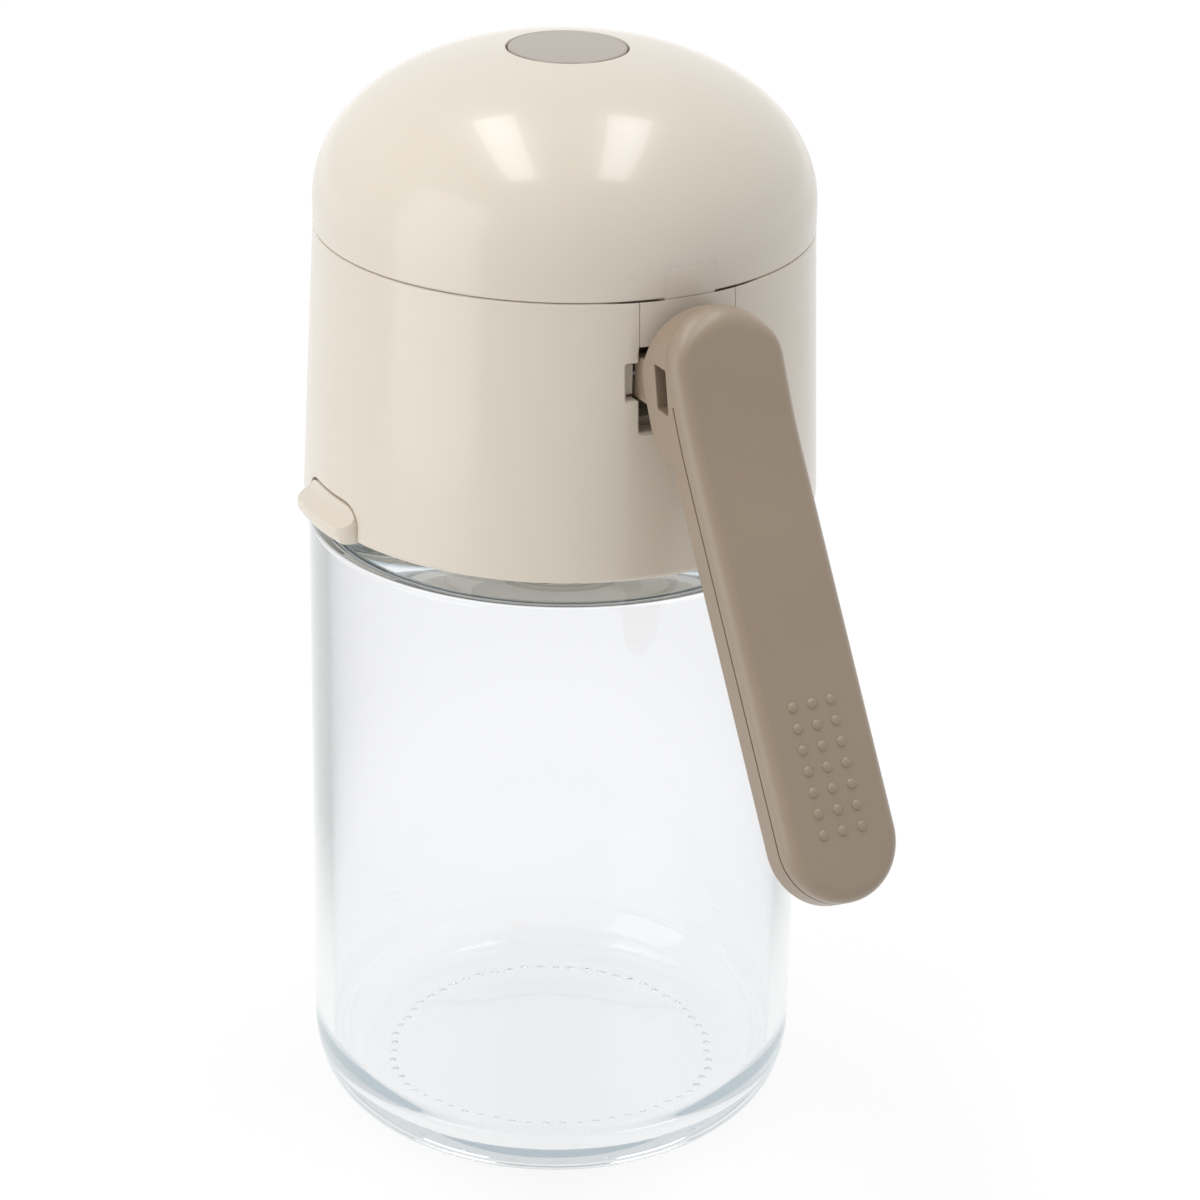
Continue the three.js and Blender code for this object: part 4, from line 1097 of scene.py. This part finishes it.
def viewMatrix():
    # looks along a yaw and pitch from the photograph's place, rolls, then turns about Z with the pot
    yaw, pitch, roll = view["yaw"], view["pitch"], view["roll"]
    ahead = Vector((np.sin(yaw) * np.cos(pitch), np.cos(yaw) * np.cos(pitch), -np.sin(pitch)))
    levelRight = Vector((np.cos(yaw), -np.sin(yaw), 0))
    levelUp = levelRight.cross(ahead)
    right = np.cos(roll) * levelRight + np.sin(roll) * levelUp
    up = -np.sin(roll) * levelRight + np.cos(roll) * levelUp
    matrix = Matrix((right, up, -ahead)).transposed().to_4x4()
    matrix.translation = Vector((0, -view["distance"], view["height"]))
    return Matrix.Rotation(np.radians(view["turn"]), 4, "Z") @ matrix


cameraData = bpy.data.cameras.new("camera")
cameraData.sensor_width = view["film"]
cameraData.lens = view["focal"] / view["frame"] * view["film"]
cameraData.clip_start = view["nearest"]
camera = bpy.data.objects.new("camera", cameraData)
bpy.context.scene.collection.objects.link(camera)
camera.matrix_world = viewMatrix()
bpy.context.scene.camera = camera

lamps = {
    "leftStrip": {
        "place": (-0.178, -0.25, 1.155), "turn": -26.0, "size": (0.9, 0.21), "power": 2.95,
    },
    "rightStrip": {
        "place": (0.084, 0.29, 1.155), "turn": -26.0, "size": (0.88, 0.21), "power": 2.8,
    },
    "sidePanel": {
        "place": (0.03, -0.37, 0.22), "aim": (0, 0, 0.22), "size": (0.28, 0.44), "power": 0.5,
    },
}


def addLamp(name, setting):
    # a soft box that hangs level and turned about Z by an angle, or faces a place
    data = bpy.data.lights.new(name, "AREA")
    data.shape = "RECTANGLE"
    data.size, data.size_y = setting["size"]
    data.energy = setting["power"]
    lamp = bpy.data.objects.new(name, data)
    bpy.context.scene.collection.objects.link(lamp)
    lamp.location = setting["place"]
    if "aim" in setting:
        ahead = Vector(setting["aim"]) - Vector(setting["place"])
        lamp.rotation_euler = ahead.to_track_quat("-Z", "Y").to_euler()
    else:
        lamp.rotation_euler = (0, 0, np.radians(setting["turn"]))


for name, setting in lamps.items():
    addLamp(name, setting)

settings = bpy.context.scene.view_settings
settings.view_transform = "Standard"
print("stage set")
